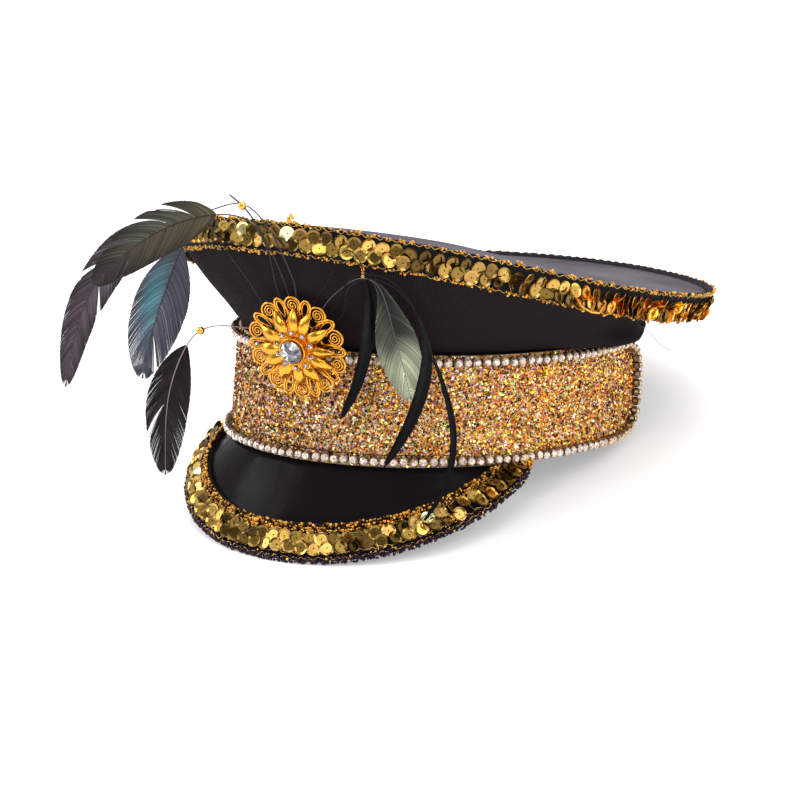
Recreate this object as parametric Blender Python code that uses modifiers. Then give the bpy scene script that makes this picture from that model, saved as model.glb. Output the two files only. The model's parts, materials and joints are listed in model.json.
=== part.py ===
"""Peaked captain's cap with a glitter band, sequin tape, a crystal brooch and feathers.

Metres, +Z up. The cap is drawn level, its front towards -Y and its wearer's left towards +X,
with the head band's bottom edge at z = 0. It is then leaned back until it rests on the peak
and on the back of the band, as it lies by itself on a table.
"""
from collections import namedtuple
import math

import bmesh
import bpy
from mathutils import Matrix, Vector

# Head band, measured inside
HEAD_LENGTH = 0.2007
HEAD_WIDTH = 0.1561
BAND_TOP_LENGTH = 0.1860
BAND_TOP_WIDTH = 0.1582
BAND_HEIGHT = 0.0457
BAND_WALL = 0.0025
NOTCH_RISE = 0.0140          # the band is this much narrower at the back
NOTCH_START = 0.95           # share of the panel's half angle where the notch begins
NOTCH_END = 1.20

# Glitter panel and the crystal chain on its outline
PANEL_WALL = 0.0015
PANEL_END = math.radians(112)
PANEL_CORNER = 0.0185
PANEL_SPRING = 0.0025        # the stiff panel stands off the band by this much at its ends
SPRING_START = 0.82          # share of the panel's half angle where it leaves the band
CORNER_STEPS = 5
CHAIN_DIAMETER = 0.0040
CHAIN_INSET = 0.0025         # from the panel's edge to the chain's middle

# Crown: its rim, its side wall and its top
RIM_LENGTH = 0.2557
RIM_WIDTH = 0.2275
RIM_SHIFT = 0.0024           # the rim's middle lies this far behind the band's
RIM_EGG = 0.031              # share by which the rim bulges at three points
RIM_HEIGHT = 0.0756
RIM_RISE = 0.0189            # the front stands this much higher than the middle
RIM_SADDLE = 0.0060
CLOTH_WALL = 0.0015
TOP_DOME = 0.0080
DOME_SHIFT = 0.50            # share of the rim by which the dome's peak lies forward
DOME_FALLOFF = 3.0
SLUMP_BULGE = 0.0220         # the back of the wall is pushed out over the band towards this
SLUMP_TUCK = 0.0080          # and drawn back in under the tape by this
SLUMP_START = math.radians(60)
SLUMP_END = math.radians(95)
GATHER_DEPTH = 0.0012
GATHERS = 15
TOP_ROWS = 4
WALL_ROWS = 7
FLARE_ROWS = 5               # the rows of the wall below the tape

# Sequin tape on the rim and on the peak
TAPE_WIDTH = 0.0128
TAPE_WALL = 0.0024
TAPE_OVERLAP = 0.0012        # the wall turns straight up this far above the tape's lower edge
TAPE_TUCK = math.radians(34) # the tape tilts under the rim towards the back
TUCK_START = math.radians(55)
TUCK_END = math.radians(125)
PEAK_TAPE_WIDTH = 0.0156
PEAK_TAPE_PROUD = 0.0008     # the tape stands past the peak's edge by this much
PEAK_TAPE_CLEAR = 0.0016     # and keeps this far from the band

# Peak
PEAK_LENGTH = 0.0402
PEAK_WALL = 0.0020
PEAK_HALF_ANGLE = math.radians(66)
PEAK_SLOPE = math.radians(63)
PEAK_SLOPE_EASE = math.radians(30)
PEAK_ROUNDNESS = 2.3         # power of the curve by which the peak narrows to its tips
PEAK_TIP = 0.97              # share of the half angle where the tips are cut off
PEAK_FLANGE = 0.0030         # the strip that lies flat under the band
PEAK_COLUMNS = 32
PEAK_ROWS = 5

# Brooch, from its back face outwards
BROOCH_HEIGHT = 0.0480
BROOCH_ANGLE = math.radians(1.5)
BROOCH_TURN = math.radians(8)
BROOCH_CLEARANCE = 0.0027
BROOCH_RADIUS = 0.0227
FILIGREE_WALL = 0.0010
LOBES = 10
LOBE_TURN = math.radians(18)
LOBE_RADIUS = 0.0041
LOOP_HALF_WIDTH = 0.0030
WIRE_WIDTH = 0.0009
CORE_RADIUS = 0.0165
POST_RADIUS = 0.0020
POST_SIDES = 10
SLOT_CENTRE = 0.0109         # the slots of the pierced base, between its loops
SLOT_LENGTH = 0.0040
HOLE_CORNERS = 6
OUTLINE_STEPS = 14           # points of the outline to each lobe
PETALS = 12
PETAL_REACH = 0.0178
PETAL_ROOT = 0.0104
PETAL_WALL = 0.0008
PETAL_LIFT = 0.0022
POINT_COLUMNS = 4            # columns of mesh to each petal or point
ARCHED_STEPS = 4             # rows of mesh from an arched petal's tip to the middle
FLAT_STEPS = 2
STAR_REACH = 0.0098
STAR_ROOT = 0.0086
STAR_WALL = 0.0007
STONES = 10
STONE_CIRCLE = 0.0079
STONE_DIAMETER = 0.0024
STONE_HEIGHT = 0.0014
STONE_FACETS = 8
TABLE_SHARE = 0.58           # the flat top, as a share of a stone's width
GIRDLE_SHARE = 0.55          # where a stone is widest, as a share of its height
CULET_SHARE = 0.45           # the flat back, as a share of a stone's width
SETTING_DIAMETER = 0.0118
SETTING_WALL = 0.0006
SETTING_HEIGHT = 0.0026
SETTING_STEPS = 16
CRYSTAL_DIAMETER = 0.0100
CRYSTAL_HEIGHT = 0.0046
CRYSTAL_FACETS = 12

# Feathers and wires
QUILL_DIAMETER = 0.0008
VANE_WIDTH = 0.0230
VANE_WALL = 0.0010
SPRAY_REACH = 0.0500
ROOT_RADIUS = 0.0150
FACING = Vector((0.54, -0.82, 0.18)).normalized()
BEAD_DIAMETER = 0.0034
WIRE_CLOCK = -6              # where the plain wire leaves the brooch, in degrees
WIRE_BEAD_SHARE = 0.89       # share of the wire's length where its bead sits
QUILL_BEAD_SHARE = 0.31
VANE_SECTIONS = 10
VANE_FULLNESS = 0.7
QUILL_SECTIONS = 8
QUILL_POINT = 0.01           # share of its length in which a quill comes to a point
ROUTE_STEPS = 4              # short steps from one station of a route to the next
SIDES = 6

# Gaps, facets and seams
GAP = 0.0003
STEP = math.radians(6)
CHAIN_STEP = math.radians(8)
WELD = 0.00002
SMOOTH_ANGLE = math.radians(35)
FULL_TURN = 2 * math.pi
STEEPEST_LEAN = math.radians(40)
LEAN_HALVINGS = 40           # times that the search for the resting lean halves its range

PART = bpy.data.collections.new("captain_hat")
TOOLS = bpy.data.collections.new("cutters")

BLACK_SATIN = ("black_satin", (0.016, 0.014, 0.018), 0.55, 0.0)
BLACK_BAND = ("black_band", (0.012, 0.011, 0.013), 0.80, 0.0)
GLITTER = ("champagne_glitter", (0.52, 0.34, 0.15), 0.45, 0.5)
CRYSTAL = ("crystal", (0.86, 0.86, 0.88), 0.08, 0.0)
SEQUIN_GOLD = ("sequin_gold", (0.56, 0.38, 0.07), 0.30, 0.9)
PATENT = ("black_patent", (0.010, 0.010, 0.011), 0.12, 0.0)
BROOCH_GOLD = ("brooch_gold", (0.80, 0.43, 0.08), 0.28, 1.0)
OLIVE_FEATHER = ("olive_feather", (0.050, 0.048, 0.030), 0.50, 0.0)
GREY_FEATHER = ("grey_feather", (0.070, 0.060, 0.072), 0.55, 0.0)
TEAL_FEATHER = ("teal_feather", (0.060, 0.120, 0.140), 0.45, 0.0)
GREEN_FEATHER = ("green_feather", (0.110, 0.150, 0.120), 0.50, 0.0)
BLACK_FEATHER = ("black_feather", (0.012, 0.011, 0.013), 0.50, 0.0)

# A row for each feather. clock is where its root lies on the brooch, in degrees. vane_start is
# the share of its length where the vane begins, width is its width as a share of VANE_WIDTH,
# widest is the share of the vane where it has that width, and bead is True where a gold bead
# sits on its quill.
Feather = namedtuple("Feather", "clock vane_start width widest bead finish")
FEATHERS = {
    "feather_1": Feather(-18, 0.48, 0.87, 0.40, False, OLIVE_FEATHER),
    "feather_2": Feather(3, 0.54, 0.70, 0.42, False, GREY_FEATHER),
    "feather_3": Feather(-42, 0.54, 1.00, 0.50, False, TEAL_FEATHER),
    "feather_4": Feather(-74, 0.41, 0.78, 0.45, True, BLACK_FEATHER),
    "feather_5": Feather(24, 0.46, 0.23, 0.50, False, BLACK_FEATHER),
    "feather_6": Feather(35, 0.43, 0.74, 0.60, False, GREEN_FEATHER),
    "feather_7": Feather(46, 0.53, 0.23, 0.50, False, BLACK_FEATHER),
    "feather_8": Feather(57, 0.57, 0.15, 0.50, False, BLACK_FEATHER),
}

# Where each quill or wire runs: angle from the front (degrees, wearer's left positive),
# height as a share of the rim's front, and stand-off from the hat as a share of SPRAY_REACH
ROUTES = {
    "feather_1": [
        (1.5, 0.887, 0.06), (-1.5, 0.993, 0.07), (-5, 1.026, 0.10), (-8.5, 1.020, 0.16),
        (-13, 1.001, 0.24), (-17.5, 0.957, 0.40), (-21.5, 0.886, 0.56), (-26, 0.790, 0.76),
        (-30.5, 0.685, 1.00)],
    "feather_2": [
        (5, 0.816, 0.07), (3.5, 0.921, 0.05), (0.5, 0.995, 0.05), (-2.5, 1.050, 0.05),
        (-5, 1.078, 0.04), (-8, 1.066, 0.04), (-14, 1.019, 0.06), (-19.5, 0.996, 0.10),
        (-26, 0.947, 0.22), (-34.5, 0.830, 0.52), (-38, 0.665, 0.90), (-39.5, 0.545, 1.18),
        (-40, 0.438, 1.36), (-40.5, 0.217, 1.40)],
    "feather_3": [
        (-7.5, 0.762, 0.04), (-9.5, 0.821, 0.06), (-12.5, 0.916, 0.05),
        (-16.5, 0.967, 0.05), (-20, 0.957, 0.08), (-22.5, 0.890, 0.10),
        (-27, 0.815, 0.13), (-29.5, 0.728, 0.27), (-31, 0.629, 0.45), (-32, 0.459, 0.78),
        (-32.5, 0.278, 0.82)],
    "feather_4": [
        (-10.5, 0.526, 0.20), (-13, 0.538, 0.28), (-14, 0.556, 0.36), (-16, 0.549, 0.44),
        (-18, 0.529, 0.52), (-21, 0.470, 0.62), (-22, 0.350, 0.72), (-21.5, 0.229, 0.78),
        (-20, 0.093, 0.80), (-19, -0.065, 0.80)],
    "feather_5": [
        (12, 0.755, 0.020), (14.5, 0.828, 0.030), (15.5, 0.903, 0.036), (17, 0.953, 0.06),
        (19, 0.929, 0.08), (21, 0.833, 0.10), (21.5, 0.714, 0.13), (21, 0.607, 0.16),
        (20, 0.497, 0.20), (19, 0.398, 0.24), (18, 0.308, 0.24), (15, 0.210, 0.20)],
    "feather_6": [
        (15.5, 0.749, 0.06), (19, 0.810, 0.12), (23, 0.828, 0.18), (25.5, 0.675, 0.24),
        (27, 0.542, 0.28), (28.5, 0.440, 0.26), (31, 0.297, 0.20)],
    "feather_7": [
        (16.5, 0.767, 0.13), (21, 0.842, 0.21), (24.5, 0.843, 0.28), (27.5, 0.812, 0.33),
        (30, 0.741, 0.38), (32, 0.640, 0.44), (33.5, 0.533, 0.48), (33.5, 0.429, 0.48),
        (33, 0.326, 0.44), (31.5, 0.223, 0.40), (29.5, 0.130, 0.36), (27, 0.042, 0.32)],
    "feather_8": [
        (17.5, 0.764, 0.20), (23, 0.832, 0.30), (27.5, 0.801, 0.40), (31.5, 0.684, 0.50),
        (34.5, 0.503, 0.54), (37, 0.394, 0.52), (39, 0.290, 0.50), (40.5, 0.188, 0.48),
        (40.6, 0.100, 0.48), (40.4, 0.001, 0.48), (38.9, -0.060, 0.48), (35.9, -0.153, 0.48)],
    "wire_bead": [
        (3, 0.768, 0.07), (3.5, 0.852, 0.10), (1, 0.963, 0.14), (-1, 1.034, 0.16),
        (-1.5, 1.052, 0.16), (-3, 1.078, 0.17), (-4.5, 1.095, 0.18), (-5.5, 1.102, 0.20)],
}


def mix(first, last, share):
    return first + (last - first) * share


def ease(value, start, end):
    """Smooth step from 0 at start to 1 at end."""
    share = min(max((value - start) / (end - start), 0.0), 1.0)
    return share * share * (3 - 2 * share)


def make_material(finish):
    name, colour, roughness, metallic = finish
    if name in bpy.data.materials:
        return bpy.data.materials[name]
    material = bpy.data.materials.new(name)
    material.use_nodes = True
    shader = material.node_tree.nodes["Principled BSDF"]
    shader.inputs["Base Color"].default_value = (*colour, 1.0)
    shader.inputs["Roughness"].default_value = roughness
    shader.inputs["Metallic"].default_value = metallic
    return material


def add_piece(name, mesh, finish, smooth=SMOOTH_ANGLE):
    """One named piece from a mesh, shaded smooth up to the given angle."""
    mesh.shade_smooth()
    mesh.set_sharp_from_angle(angle=smooth)
    mesh.materials.append(make_material(finish))
    piece = bpy.data.objects.new(name, mesh)
    PART.objects.link(piece)
    return piece


def sheet_mesh(name, columns, rows, place):
    """A grid laid out by place(across, along), both 0 to 1, its meeting edges welded."""
    bm = bmesh.new()
    bmesh.ops.create_grid(bm, x_segments=columns, y_segments=rows, size=0.5)
    for vertex in bm.verts:
        vertex.co = place(vertex.co.x + 0.5, vertex.co.y + 0.5)
    bmesh.ops.remove_doubles(bm, verts=bm.verts, dist=WELD)
    mesh = bpy.data.meshes.new(name)
    bm.to_mesh(mesh)
    bm.free()
    return mesh


def thicken(piece, wall, side):
    """Gives an open surface its wall: side -1 inwards of the face, 0 about its middle."""
    solidify = piece.modifiers.new("wall", "SOLIDIFY")
    solidify.thickness = wall
    solidify.offset = side
    solidify.use_even_offset = True


def turned_mesh(name, profile):
    """A solid of revolution about Z from (radius, height) points, top to bottom."""
    mesh = bpy.data.meshes.new(name)
    points = [(radius, 0.0, height) for radius, height in profile]
    edges = [(i, i + 1) for i in range(len(points) - 1)]
    mesh.from_pydata(points, edges, [])
    return mesh


def screw(piece, steps):
    turn = piece.modifiers.new("turn", "SCREW")
    turn.steps = steps
    turn.render_steps = steps
    turn.use_merge_vertices = True
    turn.merge_threshold = WELD
    turn.use_smooth_shade = False


# Reference shapes that several pieces follow

def band_point(angle, height, outset):
    """A point outset from the inside of the head band, which tapers with height."""
    share = height / BAND_HEIGHT
    half_width = mix(HEAD_WIDTH, BAND_TOP_WIDTH, share) / 2 + outset
    half_length = mix(HEAD_LENGTH, BAND_TOP_LENGTH, share) / 2 + outset
    return Vector((half_width * math.sin(angle), -half_length * math.cos(angle), height))


def band_outward(angle):
    """The level direction that faces out of the band."""
    return Vector((math.sin(angle) / HEAD_WIDTH, -math.cos(angle) / HEAD_LENGTH, 0)).normalized()


PANEL_BACK = BAND_WALL + GAP
PANEL_FACE = PANEL_BACK + PANEL_WALL
CHAIN_MIDDLE = PANEL_FACE + GAP + CHAIN_DIAMETER / 2
CHAIN_FACE = CHAIN_MIDDLE + CHAIN_DIAMETER / 2
BAND_RADIUS = (HEAD_LENGTH + HEAD_WIDTH) / 4 + PANEL_FACE


def rim_height(angle):
    return RIM_HEIGHT + RIM_RISE * math.cos(angle) + RIM_SADDLE * math.cos(2 * angle)


def rim_point(angle, inset, drop):
    """A point inside the rim's upper outer edge and below it."""
    egg = 1 + RIM_EGG * math.cos(3 * angle)
    half_width = RIM_WIDTH / 2 * egg - inset
    half_length = RIM_LENGTH / 2 * egg - inset
    return Vector((
        half_width * math.sin(angle),
        RIM_SHIFT - half_length * math.cos(angle),
        rim_height(angle) - drop))


def hull_point(angle, height, stand_off):
    """A point that stands off from the hat's side: the chain, the flare or the rim."""
    taper = min(max(height, 0.0), BAND_HEIGHT)
    low = band_point(angle, taper, CHAIN_FACE + stand_off)
    rim = rim_point(angle, -stand_off, TAPE_WIDTH)
    share = min(max((height - BAND_HEIGHT) / (rim.z - BAND_HEIGHT), 0.0), 1.0)
    point = mix(low, rim, share)
    point.z = height
    return point


def tape_tilt(angle):
    return TAPE_TUCK * ease(abs(angle), TUCK_START, TUCK_END)


def behind_tape(angle, drop):
    """A point just behind the rim's tape, at a drop below the rim's upper edge."""
    tilt = tape_tilt(angle)
    depth = TAPE_WALL + 1.2 * GAP
    along = (drop + depth * math.sin(tilt)) / math.cos(tilt)
    return rim_point(angle, along * math.sin(tilt) + depth * math.cos(tilt), drop)


def wall_foot(angle):
    return band_point(angle, BAND_HEIGHT, BAND_WALL) + Vector((0, 0, GAP * 1.5))


def wall_hem(angle):
    return behind_tape(angle, (TAPE_WIDTH - TAPE_OVERLAP) * math.cos(tape_tilt(angle)))


def head_band():
    def place(across, along):
        angle = (across - 0.5) * FULL_TURN
        rise = NOTCH_RISE * ease(abs(angle) / PANEL_END, NOTCH_START, NOTCH_END)
        return band_point(angle, mix(rise, BAND_HEIGHT, along), BAND_WALL)

    columns = round(FULL_TURN / STEP)
    piece = add_piece("head_band", sheet_mesh("head_band", columns, 1, place), BLACK_BAND)
    thicken(piece, BAND_WALL, -1)


def corner_rise(angle):
    """How far the panel's edge turns up, or down, where its rear corners are rounded."""
    past = abs(angle) * BAND_RADIUS - (PANEL_END * BAND_RADIUS - PANEL_CORNER)
    past = min(max(past, 0.0), PANEL_CORNER)
    return PANEL_CORNER - math.sqrt(PANEL_CORNER ** 2 - past ** 2)


def panel_point(angle, height, outset):
    """A point on the panel, whose ends spring away from the band."""
    past = max(abs(angle) / PANEL_END - SPRING_START, 0) / (1 - SPRING_START)
    return band_point(angle, height, outset + PANEL_SPRING * past ** 2)


def panel_angles():
    """Angles of the panel's columns: even ones, and closer ones round the corners."""
    start = PANEL_END - PANEL_CORNER / BAND_RADIUS
    count = max(round(2 * start / STEP), 2)
    angles = [mix(-start, start, i / count) for i in range(count + 1)]
    ends = []
    for i in range(1, CORNER_STEPS + 1):
        ends.append(mix(start, PANEL_END, math.sin(i / CORNER_STEPS * math.pi / 2)))
    return [-angle for angle in reversed(ends)] + angles + ends


def glitter_band():
    angles = panel_angles()
    last = len(angles) - 1

    def place(across, along):
        angle = angles[round(across * last)]
        rise = corner_rise(angle)
        return panel_point(angle, mix(rise, BAND_HEIGHT - rise, along), PANEL_FACE)

    piece = add_piece("glitter_band", sheet_mesh("glitter_band", last, 1, place), GLITTER)
    thicken(piece, PANEL_WALL, -1)


def chain_route():
    """The chain's line: along the bottom, round each rear corner and back along the top."""
    radius = PANEL_CORNER - CHAIN_INSET
    straight = PANEL_END * BAND_RADIUS - PANEL_CORNER
    run = max(round(2 * straight / (BAND_RADIUS * CHAIN_STEP)), 2)
    flat = [(mix(-straight, straight, i / run), CHAIN_INSET) for i in range(run + 1)]
    low_turn = []
    high_turn = []
    for i in range(1, CORNER_STEPS):
        swing = i / (CORNER_STEPS - 1) * math.pi / 2
        reach = straight + radius * math.sin(swing)
        low_turn.append((reach, PANEL_CORNER - radius * math.cos(swing)))
    for i in range(CORNER_STEPS - 1):
        swing = i / (CORNER_STEPS - 1) * math.pi / 2
        reach = straight + radius * math.cos(swing)
        high_turn.append((reach, BAND_HEIGHT - PANEL_CORNER + radius * math.sin(swing)))
    top = [(-reach, BAND_HEIGHT - height) for reach, height in flat]
    left = [(-reach, BAND_HEIGHT - height) for reach, height in low_turn + high_turn]
    outline = flat + low_turn + high_turn + top + left
    return [panel_point(reach / BAND_RADIUS, height, CHAIN_MIDDLE) for reach, height in outline]


def crystal_chain():
    curve = bpy.data.curves.new("crystal_chain", "CURVE")
    curve.dimensions = "3D"
    curve.bevel_depth = CHAIN_DIAMETER / 2
    curve.bevel_resolution = 2
    spline = curve.splines.new("POLY")
    route = chain_route()
    spline.points.add(len(route) - 1)
    for point, place in zip(spline.points, route):
        point.co = (*place, 1.0)
    spline.use_cyclic_u = True
    curve.materials.append(make_material(CRYSTAL))
    PART.objects.link(bpy.data.objects.new("crystal_chain", curve))


def side_point(angle, share):
    """The crown's wall: a flare from the band to the tape, then straight up behind it."""
    foot = wall_foot(angle)
    hem = wall_hem(angle)
    flare_share = FLARE_ROWS / WALL_ROWS
    if share > flare_share:
        top = behind_tape(angle, CLOTH_WALL * (1 + math.sin(tape_tilt(angle))) + 3 * GAP)
        return mix(hem, top, (share - flare_share) / (1 - flare_share))
    slump = ease(abs(angle), SLUMP_START, SLUMP_END)
    fold = foot + band_outward(angle) * SLUMP_BULGE
    crest = foot - band_outward(angle) * SLUMP_TUCK
    crest.z = hem.z
    fold = mix(mix(foot, hem, 1 / 3), fold, slump)
    crest = mix(mix(foot, hem, 2 / 3), crest, slump)
    t = share / flare_share
    point = (foot * (1 - t) ** 3 + fold * 3 * t * (1 - t) ** 2
             + crest * 3 * t ** 2 * (1 - t) + hem * t ** 3)
    ripple = GATHER_DEPTH * slump * math.sin(math.pi * t) * math.cos(GATHERS * angle)
    return point + band_outward(angle) * ripple


def crown_side():
    def place(across, along):
        return side_point((across - 0.5) * FULL_TURN, along)

    columns = round(FULL_TURN / STEP)
    piece = add_piece("crown_side", sheet_mesh("crown_side", columns, WALL_ROWS, place), BLACK_SATIN)
    thicken(piece, CLOTH_WALL, -1)


def top_point(angle, reach):
    """The crown's top: follows the rim at reach 1 and domes up towards the front."""
    edge = behind_tape(angle, GAP + CLOTH_WALL)
    middle = Vector((0, RIM_SHIFT, 0))
    point = mix(middle, edge, reach)
    rise = RIM_RISE * reach * math.cos(angle) + RIM_SADDLE * reach ** 2 * math.cos(2 * angle)
    forward = reach * math.cos(angle)
    away = (forward - DOME_SHIFT) ** 2 + (reach * math.sin(angle)) ** 2
    dome = TOP_DOME * (1 - reach ** 2) * math.exp(-away * DOME_FALLOFF)
    point.z = RIM_HEIGHT - GAP + rise + dome
    return point


def crown_top():
    def place(across, along):
        return top_point((across - 0.5) * FULL_TURN, 1 - along)

    columns = round(FULL_TURN / STEP)
    piece = add_piece("crown_top", sheet_mesh("crown_top", columns, TOP_ROWS, place), BLACK_SATIN)
    thicken(piece, CLOTH_WALL, -1)


def rim_trim():
    def place(across, along):
        angle = (across - 0.5) * FULL_TURN
        down = TAPE_WIDTH * (1 - along)
        tilt = tape_tilt(angle)
        return rim_point(angle, down * math.sin(tilt), down * math.cos(tilt))

    columns = round(FULL_TURN / STEP)
    piece = add_piece("rim_trim", sheet_mesh("rim_trim", columns, 1, place), SEQUIN_GOLD)
    thicken(piece, TAPE_WALL, -1)


def peak_reach(turn):
    """The peak's length down its slope, at a share of its half angle from -1 to 1."""
    return PEAK_LENGTH * (1 - abs(turn) ** PEAK_ROUNDNESS)


def peak_frame(turn):
    """The peak's root point, its downward slope and its outward normal."""
    angle = turn * PEAK_HALF_ANGLE
    slope = PEAK_SLOPE - PEAK_SLOPE_EASE * turn ** 2
    outward = band_outward(angle)
    root = band_point(angle, 0, PANEL_FACE)
    root.z = -2 * GAP - PEAK_WALL / 2
    down = outward * math.cos(slope) + Vector((0, 0, -math.sin(slope)))
    normal = outward * math.sin(slope) + Vector((0, 0, math.cos(slope)))
    return root, down, normal


def peak():
    rows = PEAK_ROWS

    def place(across, along):
        turn = (2 * across - 1) * PEAK_TIP
        root, down, _ = peak_frame(turn)
        row = round(along * rows)
        if row == rows:
            return root - band_outward(turn * PEAK_HALF_ANGLE) * PEAK_FLANGE
        return root + down * peak_reach(turn) * (1 - row / (rows - 1))

    piece = add_piece("peak", sheet_mesh("peak", PEAK_COLUMNS, rows, place), PATENT)
    thicken(piece, PEAK_WALL, 0)


def peak_trim():
    lift = PEAK_WALL / 2 + GAP + TAPE_WALL / 2

    def place(across, along):
        turn = (2 * across - 1) * PEAK_TIP
        root, down, normal = peak_frame(turn)
        outer = peak_reach(turn) + PEAK_TAPE_PROUD
        inner = max(outer - PEAK_TAPE_WIDTH, PEAK_TAPE_CLEAR)
        return root + down * mix(outer, inner, along) + normal * lift

    piece = add_piece(
        "peak_trim", sheet_mesh("peak_trim", PEAK_COLUMNS, 2, place), SEQUIN_GOLD)
    thicken(piece, TAPE_WALL, 0)


# Brooch: built flat with its face up, then stood against the hat

def wall_at(height):
    """The crown's wall at its front, at a height between the band and the hem."""
    foot = wall_foot(0)
    hem = wall_hem(0)
    return mix(foot, hem, (height - foot.z) / (hem.z - foot.z))


def brooch_matrix():
    """Stands the brooch against the panel below and the flaring wall above."""
    low = band_point(0, BROOCH_HEIGHT - BROOCH_RADIUS, PANEL_FACE)
    high = wall_at(BROOCH_HEIGHT + BROOCH_RADIUS)
    lean = math.atan2(low.y - high.y, high.z - low.z)
    middle = mix(low, high, 0.5)
    side = band_point(BROOCH_ANGLE, 0, CHAIN_FACE).x
    place = Vector((side, middle.y - BROOCH_CLEARANCE / math.cos(lean), middle.z))
    stand = Matrix.Rotation(math.pi / 2 + lean, 4, "X")
    turn = Matrix.Rotation(BROOCH_TURN, 4, "Z")
    return Matrix.Translation(place) @ turn @ stand


def lobe_edge(offset):
    """The polar radius of a round lobe at an angle off its middle, or 0 past its side."""
    centre = BROOCH_RADIUS - LOBE_RADIUS
    inside = LOBE_RADIUS ** 2 - (centre * math.sin(offset)) ** 2
    if inside < 0:
        return 0.0
    return centre * math.cos(offset) + math.sqrt(inside)


def loop_edge(offset):
    """The polar radius of a pointed loop at an angle off its middle."""
    span = LOOP_HALF_WIDTH / CORE_RADIUS
    share = abs(offset) / span
    if share > 1:
        return 0.0
    return mix(CORE_RADIUS, BROOCH_RADIUS, math.sqrt(1 - share))


def filigree_outline():
    pitch = FULL_TURN / LOBES
    count = LOBES * OUTLINE_STEPS
    points = []
    for i in range(count):
        angle = FULL_TURN * i / count
        off_lobe = (angle + pitch / 2) % pitch - pitch / 2
        off_loop = angle % pitch - pitch / 2
        radius = max(CORE_RADIUS, lobe_edge(off_lobe), loop_edge(off_loop))
        points.append((radius * math.cos(angle), radius * math.sin(angle)))
    return points


def polar_hole(angle, middle, length, width):
    """An oval hole whose long axis points away from the brooch's middle."""
    points = []
    for i in range(HOLE_CORNERS):
        swing = FULL_TURN * i / HOLE_CORNERS
        radius = middle + length / 2 * math.cos(swing)
        side = width / 2 * math.sin(swing)
        points.append((
            radius * math.cos(angle) - side * math.sin(angle),
            radius * math.sin(angle) + side * math.cos(angle)))
    return points


def filigree_holes():
    pitch = FULL_TURN / LOBES
    holes = []
    for i in range(LOBES):
        lobe = i * pitch
        loop = lobe + pitch / 2
        eye = LOBE_RADIUS - 2 * WIRE_WIDTH
        holes.append(polar_hole(lobe, BROOCH_RADIUS - LOBE_RADIUS, eye, eye))
        length = BROOCH_RADIUS - CORE_RADIUS
        middle = BROOCH_RADIUS - length / 2 - 2 * WIRE_WIDTH
        holes.append(polar_hole(loop, middle, length, 2 * LOOP_HALF_WIDTH - 3 * WIRE_WIDTH))
        holes.append(polar_hole(loop, SLOT_CENTRE, SLOT_LENGTH, 2 * WIRE_WIDTH))
    return holes


def brooch_filigree(stand):
    curve = bpy.data.curves.new("filigree_outline", "CURVE")
    curve.dimensions = "2D"
    curve.fill_mode = "BOTH"
    curve.extrude = FILIGREE_WALL / 2
    for loop in [filigree_outline()] + filigree_holes():
        spline = curve.splines.new("POLY")
        spline.points.add(len(loop) - 1)
        for point, (x, y) in zip(spline.points, loop):
            point.co = (x, y, FILIGREE_WALL / 2, 1.0)
        spline.use_cyclic_u = True
    flat = bpy.data.objects.new("filigree_outline", curve)
    PART.objects.link(flat)
    bpy.context.view_layer.update()
    shape = flat.evaluated_get(bpy.context.evaluated_depsgraph_get())
    mesh = bpy.data.meshes.new_from_object(shape)
    bpy.data.objects.remove(flat)
    bm = bmesh.new()
    bm.from_mesh(mesh)
    for vertex in bm.verts:
        vertex.co.z = FILIGREE_WALL if vertex.co.z > FILIGREE_WALL / 2 else 0.0
    bmesh.ops.remove_doubles(bm, verts=bm.verts, dist=WELD)
    bm.to_mesh(mesh)
    bm.free()
    mesh.materials.clear()
    piece = add_piece("brooch_filigree", mesh, BROOCH_GOLD)
    piece.matrix_world = stand @ Matrix.Rotation(LOBE_TURN, 4, "Z")
    weld_post(piece, stand)


def weld_post(piece, stand):
    """The hidden post that carries the brooch reaches back to the crown's wall."""
    foot = wall_foot(0)
    slant = wall_hem(0) - foot
    back = -(stand.to_3x3() @ Vector((0, 0, 1)))
    start = stand @ Vector((0, 0, 0))
    across = Vector((0, -slant.z, slant.y)).normalized()
    distance = (foot - start).dot(across) / back.dot(across)
    tilt = math.acos(min(abs(back.dot(across)), 1.0))
    length = distance - 2 * GAP - POST_RADIUS * math.tan(tilt)
    sunk = FILIGREE_WALL / 2
    bm = bmesh.new()
    bmesh.ops.create_cone(
        bm, cap_ends=True, segments=POST_SIDES, radius1=POST_RADIUS, radius2=POST_RADIUS,
        depth=length + sunk)
    mesh = bpy.data.meshes.new("brooch_post")
    bm.to_mesh(mesh)
    bm.free()
    post = bpy.data.objects.new("brooch_post", mesh)
    TOOLS.objects.link(post)
    post.matrix_world = stand @ Matrix.Translation((0, 0, (sunk - length) / 2))
    post.hide_render = True
    post.display_type = "WIRE"
    union = piece.modifiers.new("post", "BOOLEAN")
    union.operation = "UNION"
    union.object = post


def star_mesh(name, points, root, reach, hub, base, lift):
    """A flat round hub whose edge runs out into petals, arched where lift isn't 0."""
    rows = ARCHED_STEPS if lift else FLAT_STEPS

    def place(across, along):
        angle = across * FULL_TURN
        swing = abs((angle * points / FULL_TURN + 0.5) % 1.0 - 0.5) * 2
        edge = mix(root, reach, math.sqrt(max(1 - swing, 0.0)))
        row = round(along * rows)
        if row == rows:
            return Vector((0, 0, base))
        radius = mix(edge, hub, row / (rows - 1))
        arch = math.sin(math.pi * (radius - hub) / (reach - hub)) * (1 - swing ** 2)
        return Vector((radius * math.cos(angle), radius * math.sin(angle), base + lift * arch))

    return sheet_mesh(name, points * POINT_COLUMNS, rows, place)


PETAL_BASE = FILIGREE_WALL + GAP
STAR_BASE = PETAL_BASE + PETAL_WALL + GAP
SETTING_BASE = STAR_BASE + STAR_WALL + GAP
CRYSTAL_BASE = SETTING_BASE + SETTING_WALL + GAP


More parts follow.
